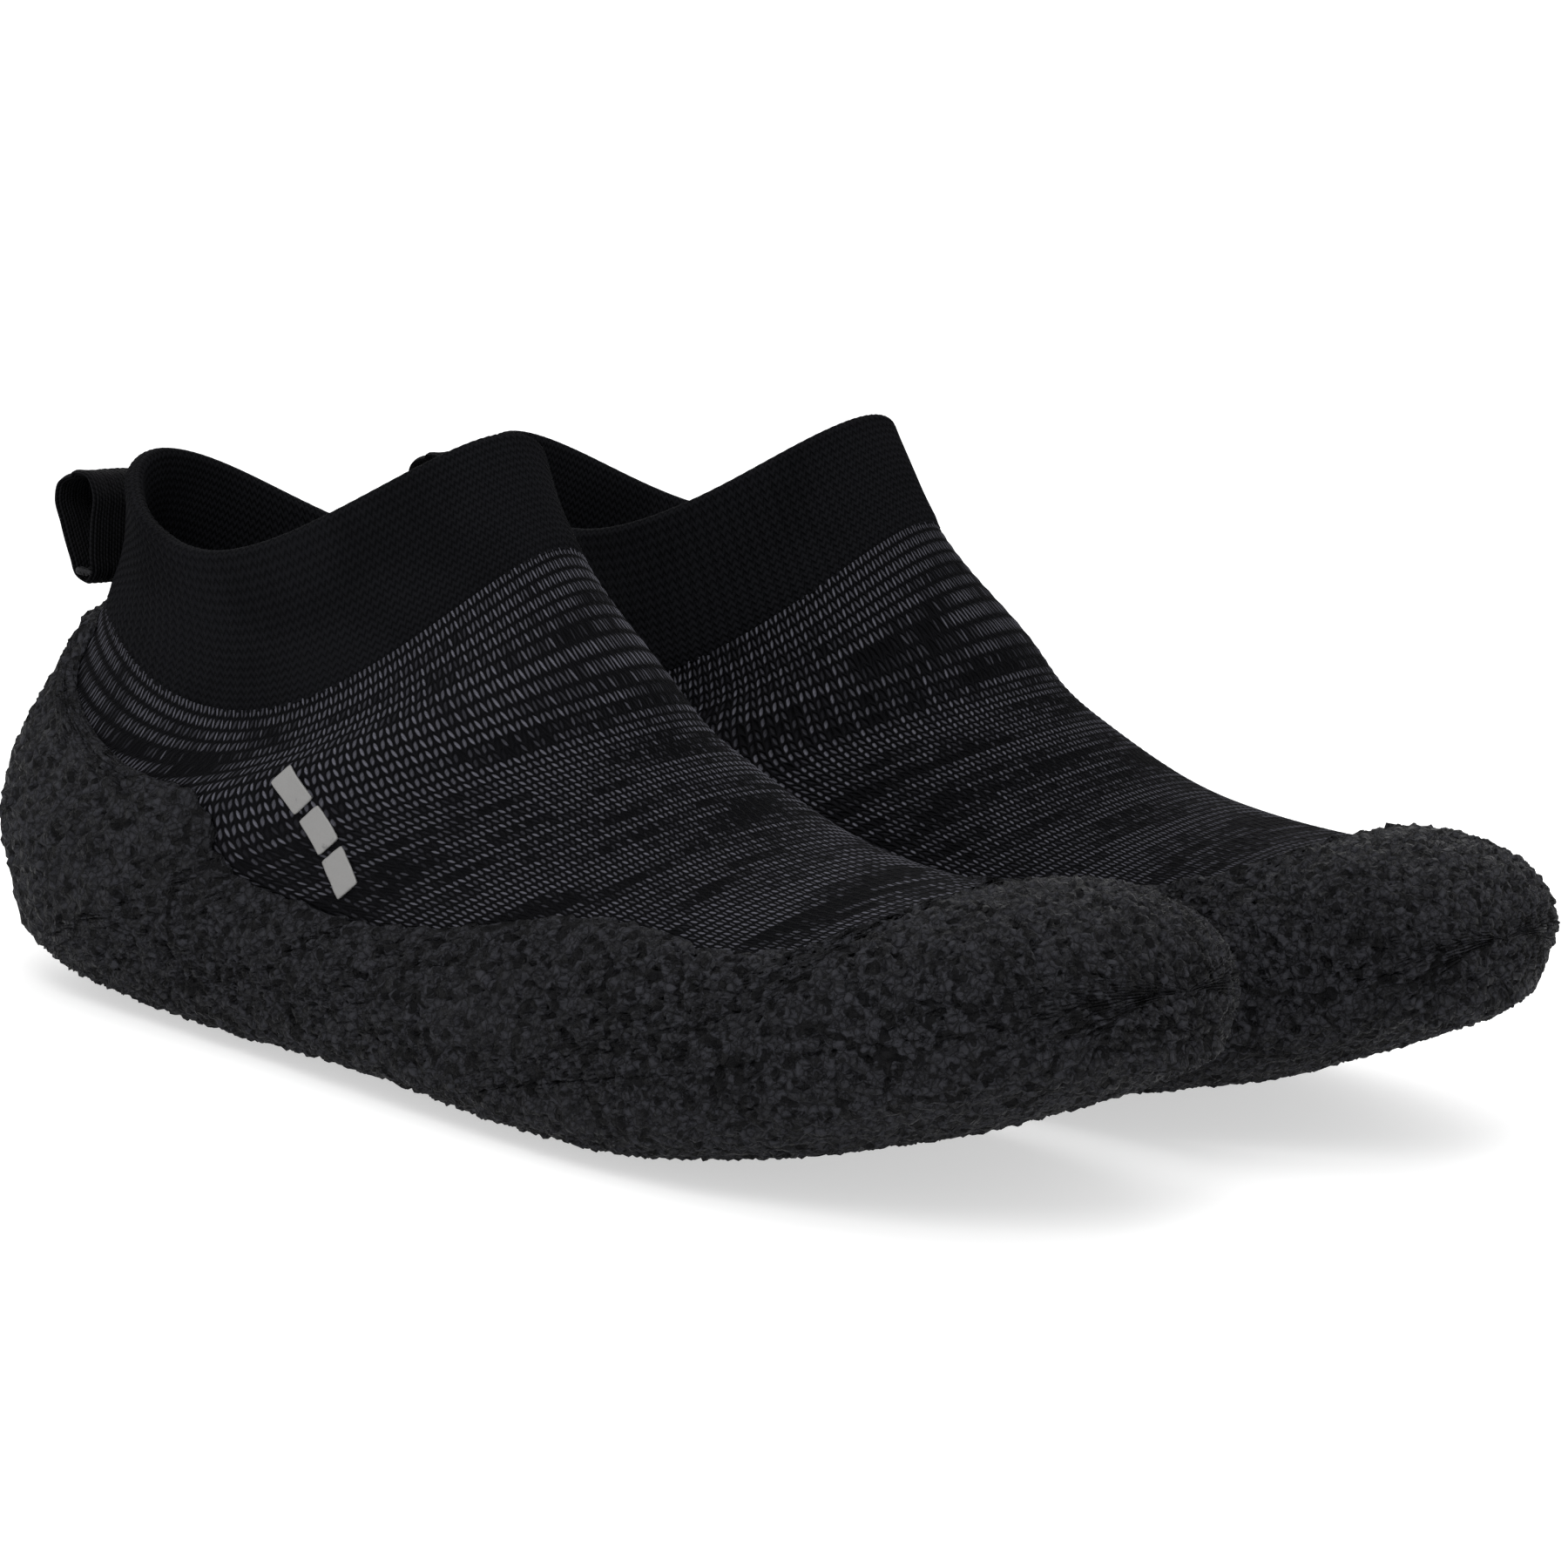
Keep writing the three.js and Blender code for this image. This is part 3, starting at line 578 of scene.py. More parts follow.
def knit_sock(side, material):
    t_visible, course = course_rows(KNIT_TOP, KNIT_HIDDEN, ROWS_PER_COURSE)
    t_toe = KNIT_HIDDEN + (TIP - KNIT_HIDDEN) * np.linspace(0, 1, TOE_ROWS)[1:] ** 0.8
    t = np.concatenate([t_visible, t_toe])
    course = np.concatenate([course, course[-1] + np.linspace(1, 30, len(t_toe))])
    columns = WALES * POINTS_PER_WALE
    phi = 2 * math.pi * np.arange(columns) / columns
    grid_phi, grid_t = np.meshgrid(phi, t)
    grid_phi = grid_phi.ravel()
    grid_t = grid_t.ravel()
    wale = wales_at(grid_phi)
    row = np.repeat(course, columns)
    points = skin(grid_phi, grid_t)
    out = normal(grid_phi, grid_t)
    valley = np.where(np.arange(len(wale)) % POINTS_PER_WALE == 0, STITCH_VALLEY, STITCH_CROWN)
    ridge = COURSE_RIDGE * np.cos(2 * math.pi * row)
    slack = KNIT_SLACK * (value_noise(points, 22.0, 3) - 0.5)
    fade = smooth(KNIT_HIDDEN, KNIT_HIDDEN - 0.04, grid_t)
    points = points + out * ((valley + ridge + slack) * fade - KNIT_SINK)[:, None]
    faces = grid_faces(len(t), columns, wrap=True)
    pairs = corner_pairs(faces, wale, row, WALES)
    # a plain inside wall, closed at the mouth and the toe
    in_t = np.concatenate([np.linspace(KNIT_TOP, KNIT_HIDDEN, LINING_ROWS), t_toe])
    in_phi, in_tt = np.meshgrid(2 * math.pi * np.arange(LINING_COLUMNS) / LINING_COLUMNS, in_t)
    in_phi = in_phi.ravel()
    in_tt = in_tt.ravel()
    inside = skin(in_phi, in_tt) - normal(in_phi, in_tt) * KNIT_T
    first = len(points)
    in_faces = grid_faces(len(in_t), LINING_COLUMNS, wrap=True, first=first)[:, ::-1]
    in_pairs = corner_pairs(in_faces - first, wales_at(in_phi),
                            np.interp(in_tt, t, course), WALES)
    all_points = np.vstack([points, inside])
    obj = make_piece(side, "knit_sock", all_points, np.vstack([faces, in_faces]), material,
                     {"knit": np.vstack([pairs, in_pairs])})
    close_ends(obj, [(0, columns), (first, LINING_COLUMNS)])
    return fit(side, obj, "shoe", "melange_knit", "knit_sock")


def close_ends(obj, mouth_rings):
    """Joins the mouth rings of the two walls, and closes each wall at the toe."""
    mesh = bmesh.new()
    mesh.from_mesh(obj.data)
    mesh.verts.ensure_lookup_table()
    mouth = set()
    for first, count in mouth_rings:
        mouth.update(mesh.verts[first + k] for k in range(count))
    open_edges = [edge for edge in mesh.edges if edge.is_boundary]
    mouth_edges = [edge for edge in open_edges if all(v in mouth for v in edge.verts)]
    rest = [edge for edge in open_edges if not all(v in mouth for v in edge.verts)]
    bmesh.ops.bridge_loops(mesh, edges=mouth_edges)
    if rest:
        bmesh.ops.holes_fill(mesh, edges=rest)
    mesh.to_mesh(obj.data)
    mesh.free()


# ---- the rib cuff ----
RIBS = 112
POINTS_PER_RIB = 6
FOLD_T = 0.01                   # the fold over the top starts here
DROOP = 3.6                     # how far the worn cuff sinks at its sides
DROOP_AT = math.radians(75)     # either side of the back
DROOP_WIDE = math.radians(38)
CUFF_SLACK = 1.2
RIB_RIDGE = 0.2
CUFF_TUCK = 0.35                # the lower edge draws in over the knit
CUFF_FULL = 0.15
RIB_COURSE = 1.35               # millimetres per course of the rib


def rib_cuff(side, material):
    outer = np.linspace(CUFF_END + 0.001, FOLD_T, 44)
    turn = np.linspace(0, math.pi, 9)[1:-1]
    inner = np.linspace(FOLD_T, KNIT_TOP, 18)
    t = np.concatenate([outer, np.full(len(turn), FOLD_T), inner])
    fold = (np.cos(turn) - 1) / 2 * RIB_T
    depth = np.concatenate([np.zeros(len(outer)), fold, np.full(len(inner), -RIB_T)])
    lift = np.concatenate([np.zeros(len(outer)), np.sin(turn) * RIB_T / 2, np.zeros(len(inner))])
    columns = RIBS * POINTS_PER_RIB
    phi = 2 * math.pi * np.arange(columns) / columns
    grid_phi, grid_t = np.meshgrid(phi, t)
    shape = grid_t.shape
    grid_phi = grid_phi.ravel()
    grid_t = grid_t.ravel()
    out = normal(grid_phi, grid_t)
    up = unit(skin(grid_phi, grid_t) - skin(grid_phi, grid_t + 0.02))
    rib = grid_phi / (2 * math.pi) * RIBS
    base = skin(grid_phi, grid_t)
    slack = CUFF_SLACK * (value_noise(base * [1, 1, 0.6], 13.0, 9) - 0.5)
    droop = DROOP * np.exp(-((np.abs(grid_phi - math.pi) - DROOP_AT) / DROOP_WIDE) ** 2)
    base[:, 2] -= droop * np.clip(1 - grid_t / CUFF_END, 0, 1) ** 1.4
    swell = np.repeat(np.where(depth > -RIB_T / 2, 1.0, -1.0), columns)
    ridge = RIB_RIDGE * np.cos(2 * math.pi * rib) * swell
    edge = CUFF_TUCK * np.repeat(smooth(CUFF_END - 0.02, CUFF_END, t), columns) * (swell > 0)
    d = np.repeat(depth, columns) + ridge + slack - edge + CUFF_FULL * (swell > 0)
    points = base + out * d[:, None] + up * np.repeat(lift, columns)[:, None]
    front = points.reshape(*shape, 3)[:, 0]
    run = np.concatenate([[0], np.cumsum(np.linalg.norm(np.diff(front, axis=0), axis=1))])
    faces = grid_faces(len(t), columns, wrap=True)[:, ::-1]
    closing = grid_faces(2, columns, wrap=True)
    last = (len(t) - 1) * columns
    closing = np.where(closing >= columns, closing - columns + last, closing)
    course = np.repeat(run / RIB_COURSE, columns)
    faces = np.vstack([faces, closing])
    pairs = corner_pairs(faces, rib, course, RIBS)
    obj = make_piece(side, "rib_cuff", points, faces, material, {"knit": pairs})
    return fit(side, obj, "shoe", "rib_knit", "rib_cuff")


# ---- the rubber crumb ----
CRUMB_SIZE = 1.9
COAT_ROWS = 330
RAND_COLUMNS = 70
PAD_COLUMNS = 150
CAP_ROWS = 7
FAR = 99.0                      # stands for "no edge near"
RIM_ABOVE_KNIT = 0.05
EDGE_THIN = 0.35                # share of the full depth at the rubber's edge
EDGE_WIDE = 4.5                 # distance over which it grows to full depth
CRUMB_HEIGHT = 1.1              # relief of whole granules
CHIP_SIZE = 0.8                 # finer chips between them
CHIP_HEIGHT = 0.35
STEP_HEIGHT = 0.75              # how much one granule stands above the next
LUMP_HEIGHT = 0.55
CRACK_DEPTH = 0.4
GROOVE_DEPTH = 0.4
RAGGED = 0.05                   # how uneven the rubber's edge is, in radians


def edge_angle(which, t):
    angle = np.radians(curve(CRUMB_EDGE[which], np.minimum(t, EDGE_END)))
    return np.where(t >= EDGE_END, 0.0, angle)


def parting_angle(which, t):
    """Ring angle where the parting line crosses each ring, pi where the ring stays above it."""
    sign = 1.0 if which == "outer" else -1.0
    scan = np.linspace(0, math.pi, 361)
    points = skin(sign * scan[None, :], np.minimum(t, 1)[:, None])
    heights = to_height(np.interp(points[..., 0], [p[0] for p in PARTING], [p[1] for p in PARTING]))
    above = points[..., 2] - heights
    angles = np.full(len(t), math.pi)
    for i, row in enumerate(above):
        if row[0] < 0:
            angles[i] = 0.0
        elif row.min() < 0:
            k = np.nonzero(row < 0)[0][0]
            share = row[k - 1] / (row[k - 1] - row[k])
            angles[i] = scan[k - 1] + (scan[k] - scan[k - 1]) * share
    return angles


def coat_rows():
    """Rows evenly spaced along the back of the heel and the sole."""
    fine = np.linspace(TONGUE_TOP, 1, 4000)
    length = lengths(math.pi, fine)
    side = lengths(math.radians(100), fine)
    both = length + 1.4 * side
    return np.interp(np.linspace(0, both[-1], COAT_ROWS), both, fine)


CAP = 0.02                      # rows with t beyond 1 close the rubber over the toe tip


def coat_base(phi, t):
    """Skin and normal, continued past the last ring by a small dome over the toe tip."""
    last = np.minimum(t, TIP)
    base = skin(phi, last)
    out = normal(phi, last)
    bend = np.clip((t - 1) / CAP, 0, 1) * math.pi / 2
    tip = (skin(0.0, TIP) + skin(math.pi, TIP)) / 2
    base = tip + (base - tip) * np.cos(bend)[:, None]
    return base, unit(out * np.cos(bend)[:, None] + np.array([1.0, 0, 0]) * np.sin(bend)[:, None])


def coat_surface(phi, t, from_edge, from_parting):
    """Outside of the rubber at these ring angles and places, with its crumb relief."""
    base, out = coat_base(phi, t)
    down = -out[:, 2]
    depth = RAND_T + (PAD_T - RAND_T) * smooth(0.35, 0.9, down)
    thin = EDGE_THIN + (1 - EDGE_THIN) * smooth(0.0, EDGE_WIDE, from_edge)
    bump, crack, own = granules(base + out * depth[:, None], CRUMB_SIZE, 11)
    small, _, _ = granules(base, CHIP_SIZE, 31)
    lumps = value_noise(base, 7.0, 17) - 0.5
    relief = CRUMB_HEIGHT * (bump - 0.62) + CHIP_HEIGHT * (small - 0.6) + STEP_HEIGHT * (own - 0.5)
    relief = relief + LUMP_HEIGHT * lumps - CRACK_DEPTH * smooth(0.22, 0.0, crack)
    # the parting line shows as a groove on the forefoot only
    groove = GROOVE_DEPTH * smooth(0.6, 0.05, from_parting)
    groove = groove * smooth(140, 175, base[:, 0]) * smooth(238, 222, base[:, 0])
    height = depth * thin + relief * (0.45 + 0.55 * thin) - groove
    points = base + out * height[:, None]
    floor = 0.12 * (1 - bump) + 0.1 * smooth(0.2, 0.0, crack)
    points[:, 2] = np.maximum(points[:, 2], floor)
    return points, crack, base, out


def coat_strip(t, low, high, columns, edge_side):
    """Ring angles of a strip between two angle curves, and how far each point is from its edges."""
    a = np.linspace(0, 1, columns)
    phi = low[:, None] + (high - low)[:, None] * a[None, :]
    place = np.minimum(t, 1)
    centre = skin(phi[:, columns // 2], place)
    ends = [np.linalg.norm(skin(phi[:, k], place) - centre, axis=1) for k in (0, -1)]
    width = ends[0] + ends[1]
    from_low = width[:, None] * a[None, :]
    from_high = width[:, None] * (1 - a)[None, :]
    both = (np.full_like(from_low, FAR), np.minimum(from_low, from_high))
    edges = {"low": (from_low, from_high), "high": (from_high, from_low), "none": both}
    from_edge, from_parting = edges[edge_side]
    return phi, from_edge, from_parting


def build_coat(side, name, strips, t, material, node):
    points, crack, inward, faces = [], [], [], []
    start = 0
    from_top = lengths(math.pi, np.minimum(t, 1))
    for phi, from_edge, from_parting, use in strips:
        rows, columns = phi.shape
        closed_toe = (t >= EDGE_END)[:, None]
        from_edge = np.where(closed_toe, FAR, from_edge)
        from_edge = np.minimum(from_edge, from_top[:, None] + 0.4)
        tt = np.repeat(t, columns)
        surface, cracks, base, out = coat_surface(phi.ravel(), tt, from_edge.ravel(), from_parting.ravel())
        points.append(surface)
        crack.append(cracks)
        inward.append(base + out * RIM_ABOVE_KNIT)
        quads = grid_faces(rows, columns, first=start)
        keep = np.repeat(use[:-1] | use[1:], columns - 1)
        faces.append(quads[keep])
        start += len(surface)
    obj = make_piece(side, name, np.vstack(points), np.vstack(faces), material,
                     {"crack": np.concatenate(crack)})
    turn_rim(obj, side, np.vstack(inward))
    return fit(side, obj, "shoe", "crumb", node)


def turn_rim(obj, side, inner_points):
    """Merges the strips, drops slivers, and turns the open edges in to the knit."""
    matrix, origin, _ = placement(side)
    inner = inner_points @ matrix.T * MM + origin
    mesh = bmesh.new()
    mesh.from_mesh(obj.data)
    mesh.verts.ensure_lookup_table()
    target = mesh.verts.layers.float_vector.new("inner")
    for vertex in mesh.verts:
        vertex[target] = inner[vertex.index]
    loose = [v for v in mesh.verts if not v.link_faces]
    bmesh.ops.delete(mesh, geom=loose, context="VERTS")
    bmesh.ops.remove_doubles(mesh, verts=mesh.verts, dist=0.02 * MM)
    bmesh.ops.dissolve_degenerate(mesh, dist=0.01 * MM, edges=mesh.edges)
    open_edges = [edge for edge in mesh.edges if edge.is_boundary]
    made = bmesh.ops.extrude_edge_only(mesh, edges=open_edges)
    for item in made["geom"]:
        if isinstance(item, bmesh.types.BMVert):
            item.co = item[target]
    bmesh.ops.recalc_face_normals(mesh, faces=mesh.faces)
    mesh.verts.layers.float_vector.remove(target)
    mesh.to_mesh(obj.data)
    mesh.free()
    obj.data.shade_smooth()


def rubber(side, material):
    t = coat_rows()
    t[-1] = TIP
    t = np.concatenate([t, 1 + CAP * np.linspace(0.12, 1, CAP_ROWS)])
    edge = {which: edge_angle(which, t) for which in ("outer", "inner")}
    part = {which: parting_angle(which, t) for which in ("outer", "inner")}
    for which in ("outer", "inner"):
        part[which] = np.maximum(part[which], edge[which])
    full = 2 * math.pi
    jitter = value_noise(skin(edge["outer"], np.minimum(t, 1)), 2.2, 41) - 0.5
    ragged = {which: edge[which] + np.where(t < EDGE_END, RAGGED * jitter, 0.0) for which in edge}
    outer = coat_strip(t, ragged["outer"], part["outer"], RAND_COLUMNS, "low")
    inner = coat_strip(t, full - part["inner"], full - ragged["inner"], RAND_COLUMNS, "high")
    bottom = coat_strip(t, part["outer"], full - part["inner"], PAD_COLUMNS, "none")
    outer_on = part["outer"] - edge["outer"] > 1e-3
    inner_on = part["inner"] - edge["inner"] > 1e-3
    bottom_on = full - part["inner"] - part["outer"] > 1e-3
    build_coat(side, "granule_rand", [(*outer, outer_on), (*inner, inner_on)], t, material, "granule_rand")
    build_coat(side, "outsole_pad", [(*bottom, bottom_on)], t, material, "outsole_pad")


# ---- the heel loop ----
LOOP_WIDTH = 22.0
RIBBON_T = 1.1
LOOP_HEIGHT = 18.5
LOOP_DEPTH = 11.0
LOOP_LEAN = math.radians(14)
LOOP_STEPS = 120
LOOP_CUP = 0.5                  # the ribbon curls across its width
LOOP_RIB = 0.08
LOOP_RIB_PITCH = 1.6
WEAVE_ACROSS = 0.8              # millimetres per thread of the ribbon
WEAVE_ALONG = 0.9


def rounded_path(points, steps):
    """A smooth closed path through points, as x and z."""
    points = np.array(points, float)
    closed = np.vstack([points, points[:1]])
    knots = np.concatenate([[0], np.cumsum(np.linalg.norm(np.diff(closed, axis=0), axis=1))])
    total = knots[-1]
    extended = np.concatenate([knots[:-1] - total, knots[:-1], knots + total])
    values = np.vstack([points, points, closed])
    want = np.linspace(0, total, steps, endpoint=False)
    columns = [curve(list(zip(extended, values[:, k])), want) for k in range(2)]
    return np.stack(columns, -1), want


def pull_loop(side, material):
    half = LOOP_DEPTH / 2
    shoulder = LOOP_HEIGHT - 1.6
    outline = [
        (0, -LOOP_FOOT + 0.5), (1.9, -0.9), (2.6, 2.5), (3.9, 9), (half - 0.6, 14), (half - 1.6, shoulder),
        (0, LOOP_HEIGHT - 0.55), (-half + 1.6, shoulder), (-half + 0.4, 14), (-4.1, 9), (-2.6, 2.5),
        (-1.9, -0.9),
    ]
    path, along = rounded_path(outline, LOOP_STEPS)
    ahead = unit(np.roll(path, -1, 0) - np.roll(path, 1, 0))
    side_way = np.stack([ahead[:, 1], -ahead[:, 0]], -1)
    # one turn round the ribbon's section: out along one face and back along the other
    face = np.linspace(-1, 1, 34)
    section = [(u, 1.0) for u in face] + [(u, -1.0) for u in face[::-1]]
    columns = len(section)
    points = np.zeros((len(path), columns, 3))
    uv = np.zeros((len(path), columns, 2))
    for k, (u, s) in enumerate(section):
        edge = math.sqrt(max(0.0, 1 - abs(u) ** 14))
        width = LOOP_WIDTH / 2 * (1 - 0.05 * np.exp(-path[:, 1] / 4.0))
        y = u * width
        cup = LOOP_CUP * (u * u - 0.3) * smooth(4, 14, path[:, 1])
        rib = LOOP_RIB * math.cos(2 * math.pi * u * LOOP_WIDTH / 2 / LOOP_RIB_PITCH)
        away = s * (RIBBON_T / 2 * edge + rib) + cup * np.where(path[:, 0] > 0, 1, -1)
        points[:, k, 0] = path[:, 0] + side_way[:, 0] * away
        points[:, k, 2] = path[:, 1] + side_way[:, 1] * away
        points[:, k, 1] = y
        uv[:, k, 0] = u * LOOP_WIDTH / 2 / WEAVE_ACROSS
        uv[:, k, 1] = along / WEAVE_ALONG
    flat = points.reshape(-1, 3)
    lean = np.array([[math.cos(LOOP_LEAN), 0, -math.sin(LOOP_LEAN)], [0, 1, 0],
                     [math.sin(LOOP_LEAN), 0, math.cos(LOOP_LEAN)]])
    flat = flat @ lean.T + loop_root()
    faces = grid_faces(len(path) + 1, columns, wrap=True) % len(flat)
    u = uv[..., 0].ravel()
    v = uv[..., 1].ravel()
    pairs = np.stack([u[faces], v[faces]], -1)
    wrap = along[-1] / WEAVE_ALONG
    low = pairs[..., 1] < wrap / 2
    crossing = (pairs[..., 1].max(1) - pairs[..., 1].min(1)) > wrap / 2
    pairs[..., 1] = np.where(crossing[:, None] & low, pairs[..., 1] + wrap, pairs[..., 1])
    obj = make_piece(side, "pull_loop", flat, faces, material, {"knit": pairs})
    return fit(side, obj, "loop", "ribbon", "pull_loop")


def tube(path, radius, sides=10):
    """A closed tube with round ends along a path of points."""
    path = np.array(path, float)
    ahead = unit(np.gradient(path, axis=0))
    up = np.array([0.0, 0.0, 1.0])
    first = unit(np.cross(ahead, up) + 1e-6)
    second = np.cross(ahead, first)
    angle = 2 * math.pi * np.arange(sides) / sides
    rings = (path[:, None] + radius * (np.cos(angle)[None, :, None] * first[:, None]
                                        + np.sin(angle)[None, :, None] * second[:, None])).reshape(-1, 3)
    points = np.vstack([rings, path[:1] - ahead[:1] * radius * 0.6, path[-1:] + ahead[-1:] * radius * 0.6])
    faces = [tuple(f) for f in grid_faces(len(path), sides, wrap=True)]
    n = len(rings)
    for k in range(sides):
        nxt = (k + 1) % sides
        faces.append((n, k, nxt))
        faces.append((n + 1, n - sides + nxt, n - sides + k))
    return points, faces


TACK_REACH = 3.4                # the ends run this far forward into the cuff
TACK_BESIDE = 0.9               # beside the ribbon
PLY_R = 0.36
PLY_OFFSET = 0.32               # of each ply from the middle of the thread
PLY_TWIST = 9


def loop_tack(side, material):
    """Two-ply thread through the foot of the loop, with its ends sewn into the cuff."""
    half = LOOP_WIDTH / 2 + TACK_BESIDE
    route = [
        (TACK_REACH, -half), (0.9, -half), (0.15, -half + 0.6), (0, -half + 1.5), (0, 0),
        (0, half - 1.5), (0.15, half - 0.6), (0.9, half), (TACK_REACH, half),
    ]
    fine = np.linspace(0, len(route) - 1, 260)
    x = curve([(i, p[0]) for i, p in enumerate(route)], fine)
    y = curve([(i, p[1]) for i, p in enumerate(route)], fine)
    root = loop_root()
    all_points, all_faces, start = [], [], 0
    for ply in (0, 1):
        twist = fine * PLY_TWIST + ply * math.pi
        aside = PLY_OFFSET * np.cos(twist)
        above = PLY_OFFSET * np.sin(twist)
        points, faces = tube(np.stack([root[0] + x + aside, root[1] + y, root[2] + above], -1), PLY_R)
        all_points.append(points)
        all_faces += [tuple(int(i) + start for i in face) for face in faces]
        start += len(points)
    obj = make_piece(side, "loop_tack", np.vstack(all_points), all_faces, material)
    return fit(side, obj, "shoe", "thread", "loop_tack")


# ---- insole ----
FOAM_VOXEL = 1.1
CLOTH_VOXEL = 0.45


def rounded_copy(side, node, voxel, material, passes):
    """A remeshed, softened copy of a CAD node."""
    source = frame["nodes"][f"{side}_{node}"]
    obj = source.copy()
    obj.data = source.data.copy()
    obj.name = f"{side}_{node}_looks"
    obj.parent = None
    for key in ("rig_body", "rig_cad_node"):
        if key in obj:
            del obj[key]
    bpy.context.scene.collection.objects.link(obj)
    remesh = obj.modifiers.new("remesh", "REMESH")
    remesh.mode = "VOXEL"
    remesh.voxel_size = voxel * MM
    soften = obj.modifiers.new("soften", "SMOOTH")
    soften.iterations = passes
    bpy.context.view_layer.update()
    graph = bpy.context.evaluated_depsgraph_get()
    mesh = bpy.data.meshes.new_from_object(obj.evaluated_get(graph))
    obj.modifiers.clear()
    obj.data = mesh
    obj.data.materials.clear()
    obj.data.materials.append(material)
    obj.data.shade_smooth()
    return obj


def insole(side, foam, cloth):
    pad = rounded_copy(side, "insole_foam", FOAM_VOXEL, foam, 6)
    fit(side, pad, "insole", "insole_foam", "insole_foam")
    voxel = CLOTH_VOXEL
    lining = rounded_copy(side, "insole_lining", voxel, cloth, 3)
    fit(side, lining, "insole", "insole_cloth", "insole_lining")


# ---- print and toe seam ----
PRINT_AT = (103.5, 43.5)
PRINT_FALL = math.radians(43)
BARS = ((-13.0, -5.6), (-4.2, 3.4), (4.8, 12.9))    # start and end of each bar along the print
BAR_WIDTH = 5.0
BAR_ROWS = 26
BAR_COLUMNS = 18
BAR_CORNER = 0.04               # how far the corners are rounded, as a share of a side
FILM_TOP = 0.42                 # above the knit
FILM_UNDER = 0.02


def find_on_side(x, z):
    """Ring angles and places of points on the outer side that are at x and z on the last."""
    phi = np.full_like(x, math.pi / 2)
    t = np.full_like(x, 0.5)
    want_z = to_height(z)
    for _ in range(12):
        here = skin(phi, t)
        by_phi = (skin(phi + STEP, t) - here) / STEP
        by_t = (skin(phi, t + STEP) - here) / STEP
        dx = x - here[:, 0]
        dz = want_z - here[:, 2]
        det = by_phi[:, 0] * by_t[:, 2] - by_t[:, 0] * by_phi[:, 2]
        phi = phi + (dx * by_t[:, 2] - by_t[:, 0] * dz) / det
        t = t + (by_phi[:, 0] * dz - dx * by_phi[:, 2]) / det
    return phi, t


def side_print(side, material):
    """Three plain bars in a row, as a thin film on the knit."""
    all_points, all_faces, start = [], [], 0
    for low, high in BARS:
        rows, columns = BAR_ROWS, BAR_COLUMNS
        a, b = np.meshgrid(np.linspace(-1, 1, rows), np.linspace(-1, 1, columns), indexing="ij")
        long = (low + high) / 2 + (high - low) / 2 * a * (1 - BAR_CORNER * b ** 8)
        wide = BAR_WIDTH / 2 * b * (1 - BAR_CORNER * a ** 8)
        x = PRINT_AT[0] + long * math.cos(PRINT_FALL) + wide * math.sin(PRINT_FALL)
        z = PRINT_AT[1] + wide * math.cos(PRINT_FALL) - long * math.sin(PRINT_FALL)
        phi, t = find_on_side(x.ravel(), z.ravel())
        base = skin(phi, t)
        out = normal(phi, t)
        wale = phi / (2 * math.pi) * WALES
        take = 0.05 * np.cos(2 * math.pi * wale)
        edge = 1 - np.maximum(np.abs(a), np.abs(b)).ravel() ** 30
        top = base + out * (FILM_TOP + take + 0.1 * edge)[:, None]
        under = base + out * FILM_UNDER
        faces = np.vstack([grid_faces(rows, columns, first=start),
                           grid_faces(rows, columns, first=start + len(top))[:, ::-1]])
        all_faces += [tuple(f) for f in faces]
        ring = ([j for j in range(columns)] + [i * columns + columns - 1 for i in range(1, rows)]
                + [(rows - 1) * columns + j for j in range(columns - 2, -1, -1)]
                + [i * columns for i in range(rows - 2, 0, -1)])
        below = start + len(top)
        for here, after in zip(ring, ring[1:] + ring[:1]):
            all_faces.append((start + here, start + after, below + after, below + here))
        all_points += [top, under]
        start += 2 * len(top)
    obj = make_piece(side, "side_print", np.vstack(all_points), all_faces, material)
    return fit(side, obj, "shoe", "print", "side_print")


SEAM_HALF_ANGLE = 60
SEAM_POINTS = 700
SEAM_THREAD_R = 0.3


def toe_seam(side, material):
    """A linked seam inside the toe, as a chain of overcast loops."""
    angle = np.radians(np.linspace(-SEAM_HALF_ANGLE, SEAM_HALF_ANGLE, SEAM_POINTS))
    loops = np.arange(SEAM_POINTS) * 0.55
    t = TOE_SEAM + 0.0045 * np.sin(loops)
    base = skin(angle, t)
    out = normal(angle, t)
    depth = KNIT_T + 0.75 + 0.28 * np.cos(loops)
    points, faces = tube(base - out * depth[:, None], SEAM_THREAD_R, 8)
    obj = make_piece(side, "toe_seam", points, faces, material)
    return fit(side, obj, "shoe", "thread", "toe_seam")


# ---- stage, light and camera ----
def stage():
    mesh = bpy.data.meshes.new("floor_mesh")
    far = 6.0
    mesh.from_pydata([(-far, -far, 0), (far, -far, 0), (far, far, 0), (-far, far, 0)], [], [(0, 1, 2, 3)])
    floor = bpy.data.objects.new("floor", mesh)
    bpy.context.scene.collection.objects.link(floor)
    g = Graph("white_floor")
    white = g.set(Base_Color=(0.6, 0.6, 0.6, 1), Roughness=0.9, Specular_IOR_Level=0.1,
                  Emission_Color=(1, 1, 1, 1), Emission_Strength=0.55)
    floor.data.materials.append(white)


MIDDLE = (0, 0, 0.05)


def area_light(name, at, size, power):
    data = bpy.data.lights.new(name, "AREA")
    data.shape = "DISK"
    data.size = size
    data.energy = power
    obj = bpy.data.objects.new(name, data)
    bpy.context.scene.collection.objects.link(obj)
    obj.location = at
    obj.rotation_euler = (Vector(MIDDLE) - Vector(at)).to_track_quat("-Z", "Y").to_euler()


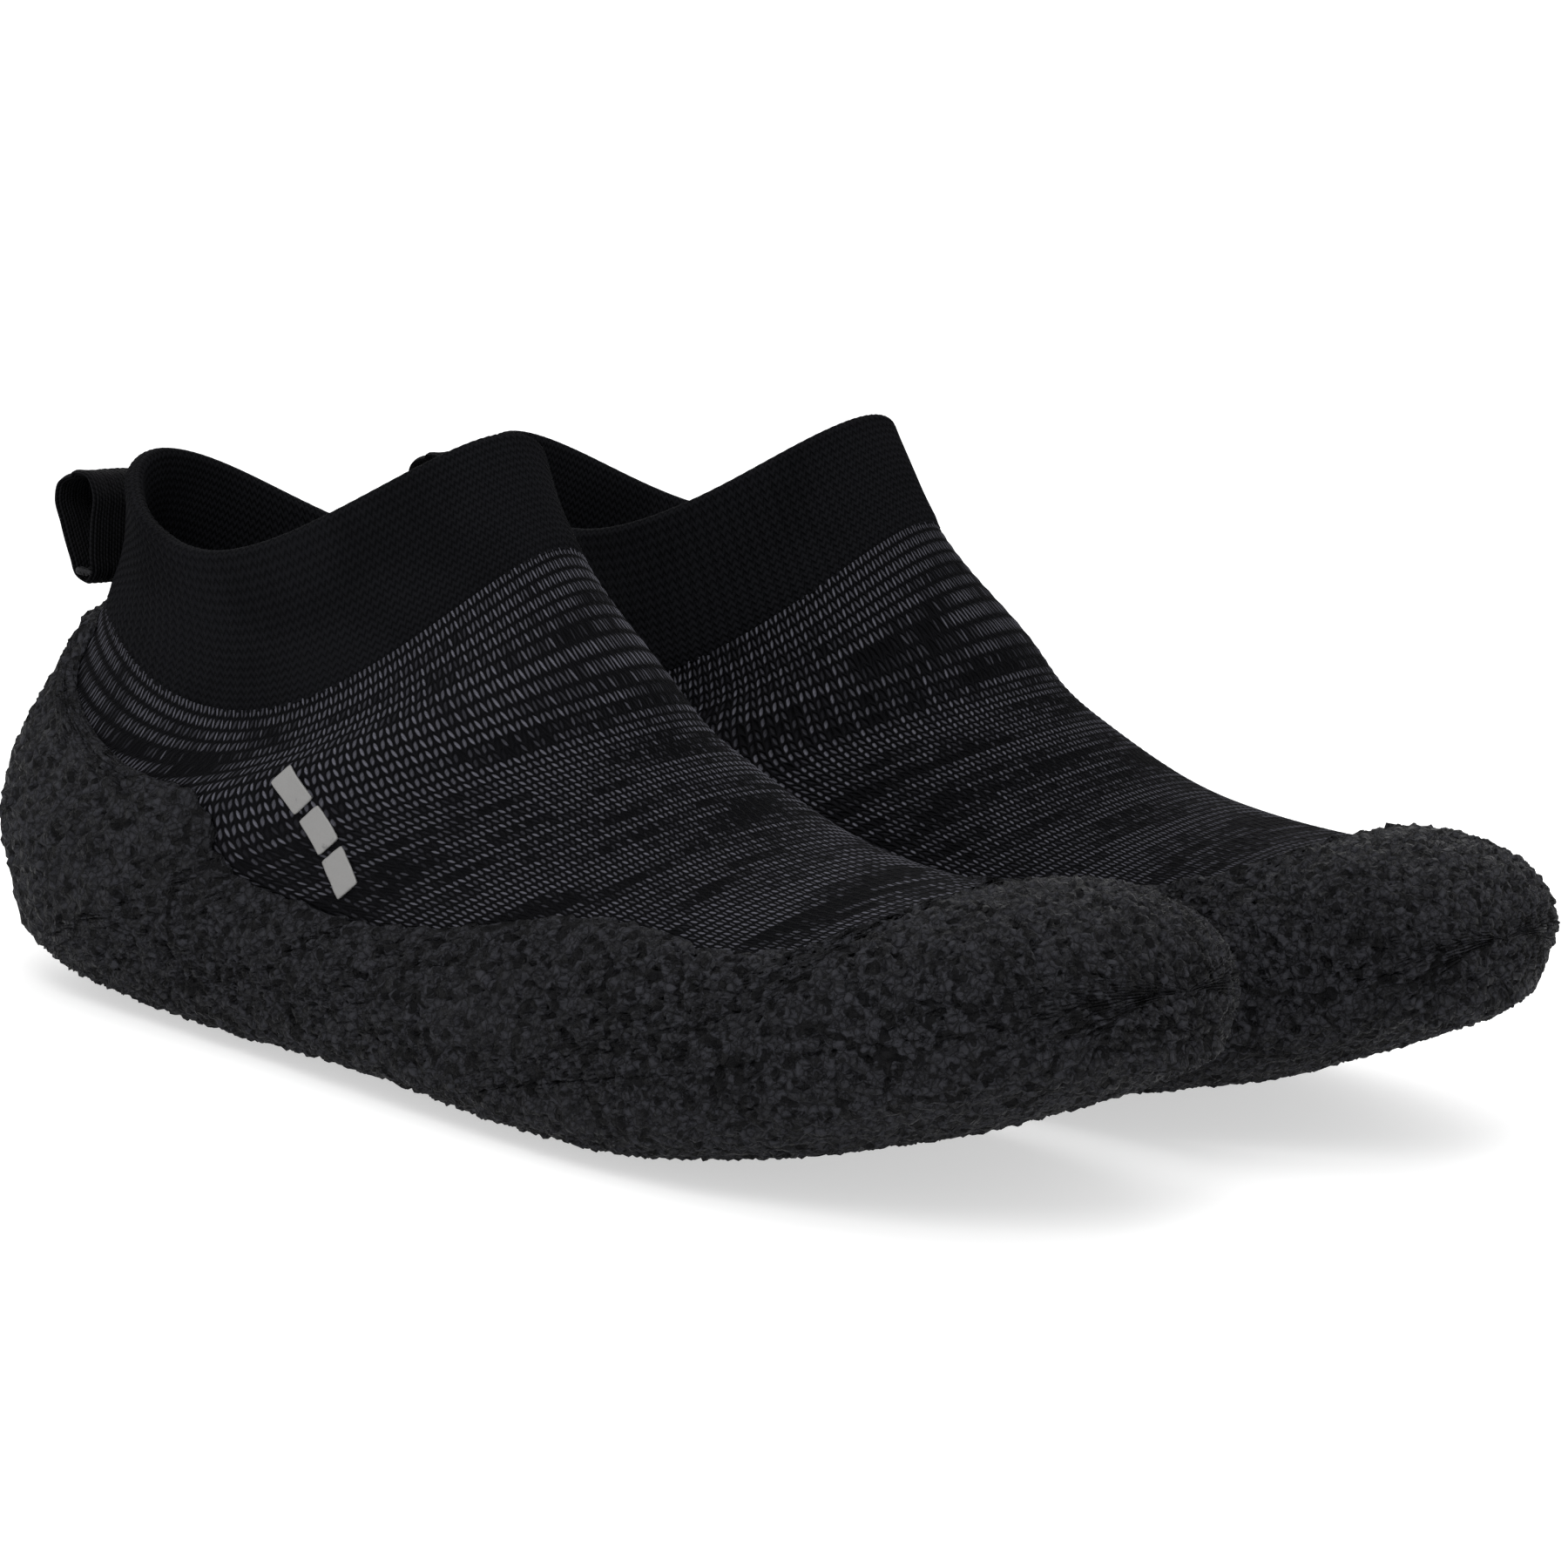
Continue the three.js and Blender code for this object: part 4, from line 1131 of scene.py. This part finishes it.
def lights():
    world = bpy.data.worlds.new("studio")
    bpy.context.scene.world = world
    world.use_nodes = True
    world.node_tree.nodes["Background"].inputs[0].default_value = (1, 1, 1, 1)
    world.node_tree.nodes["Background"].inputs[1].default_value = 1.0
    area_light("key", (0.5, -1.1, 1.3), 0.8, 10)
    area_light("back", (-0.6, 1.2, 1.1), 1.2, 3)
    area_light("top", (0.1, 0.1, 1.7), 1.4, 6)
    bpy.context.scene.view_settings.view_transform = "Standard"


CAMERA_TURN = math.radians(38)
CAMERA_RISE = math.radians(10.1)
CAMERA_ROLL = math.radians(5.4)
CAMERA_AWAY = 1.18
CAMERA_LENS = 146.3
CAMERA_AIM = Vector((-0.0027, 0.0055, 0.0504))


def camera():
    data = bpy.data.cameras.new("camera")
    data.lens = CAMERA_LENS
    data.sensor_width = 36
    obj = bpy.data.objects.new("camera", data)
    bpy.context.scene.collection.objects.link(obj)
    out = math.cos(CAMERA_RISE)
    back = Vector((math.sin(CAMERA_TURN) * out, -math.cos(CAMERA_TURN) * out, math.sin(CAMERA_RISE)))
    level = Vector((math.cos(CAMERA_TURN), math.sin(CAMERA_TURN), 0))
    up = back.cross(level)
    right = level * math.cos(CAMERA_ROLL) + up * math.sin(CAMERA_ROLL)
    top = up * math.cos(CAMERA_ROLL) - level * math.sin(CAMERA_ROLL)
    axes = Matrix((right, top, back)).transposed()
    obj.matrix_world = Matrix.Translation(CAMERA_AIM + back * CAMERA_AWAY) @ axes.to_4x4()
    bpy.context.scene.camera = obj


# ---- the pair ----
camera()
lights()
stage()
knit = knit_material()
rib = rib_material("rib_knit", (0.0056, 0.0057, 0.0068), 0.8)
crumb = crumb_material()
ribbon = ribbon_material()
thread = thread_material()
foam = foam_material()
cloth = lining_material()
grey = print_material()
for side in SIDES:
    knit_sock(side, knit)
    rib_cuff(side, rib)
    rubber(side, crumb)
    pull_loop(side, ribbon)
    loop_tack(side, thread)
    insole(side, foam, cloth)
    side_print(side, grey)
    toe_seam(side, thread)
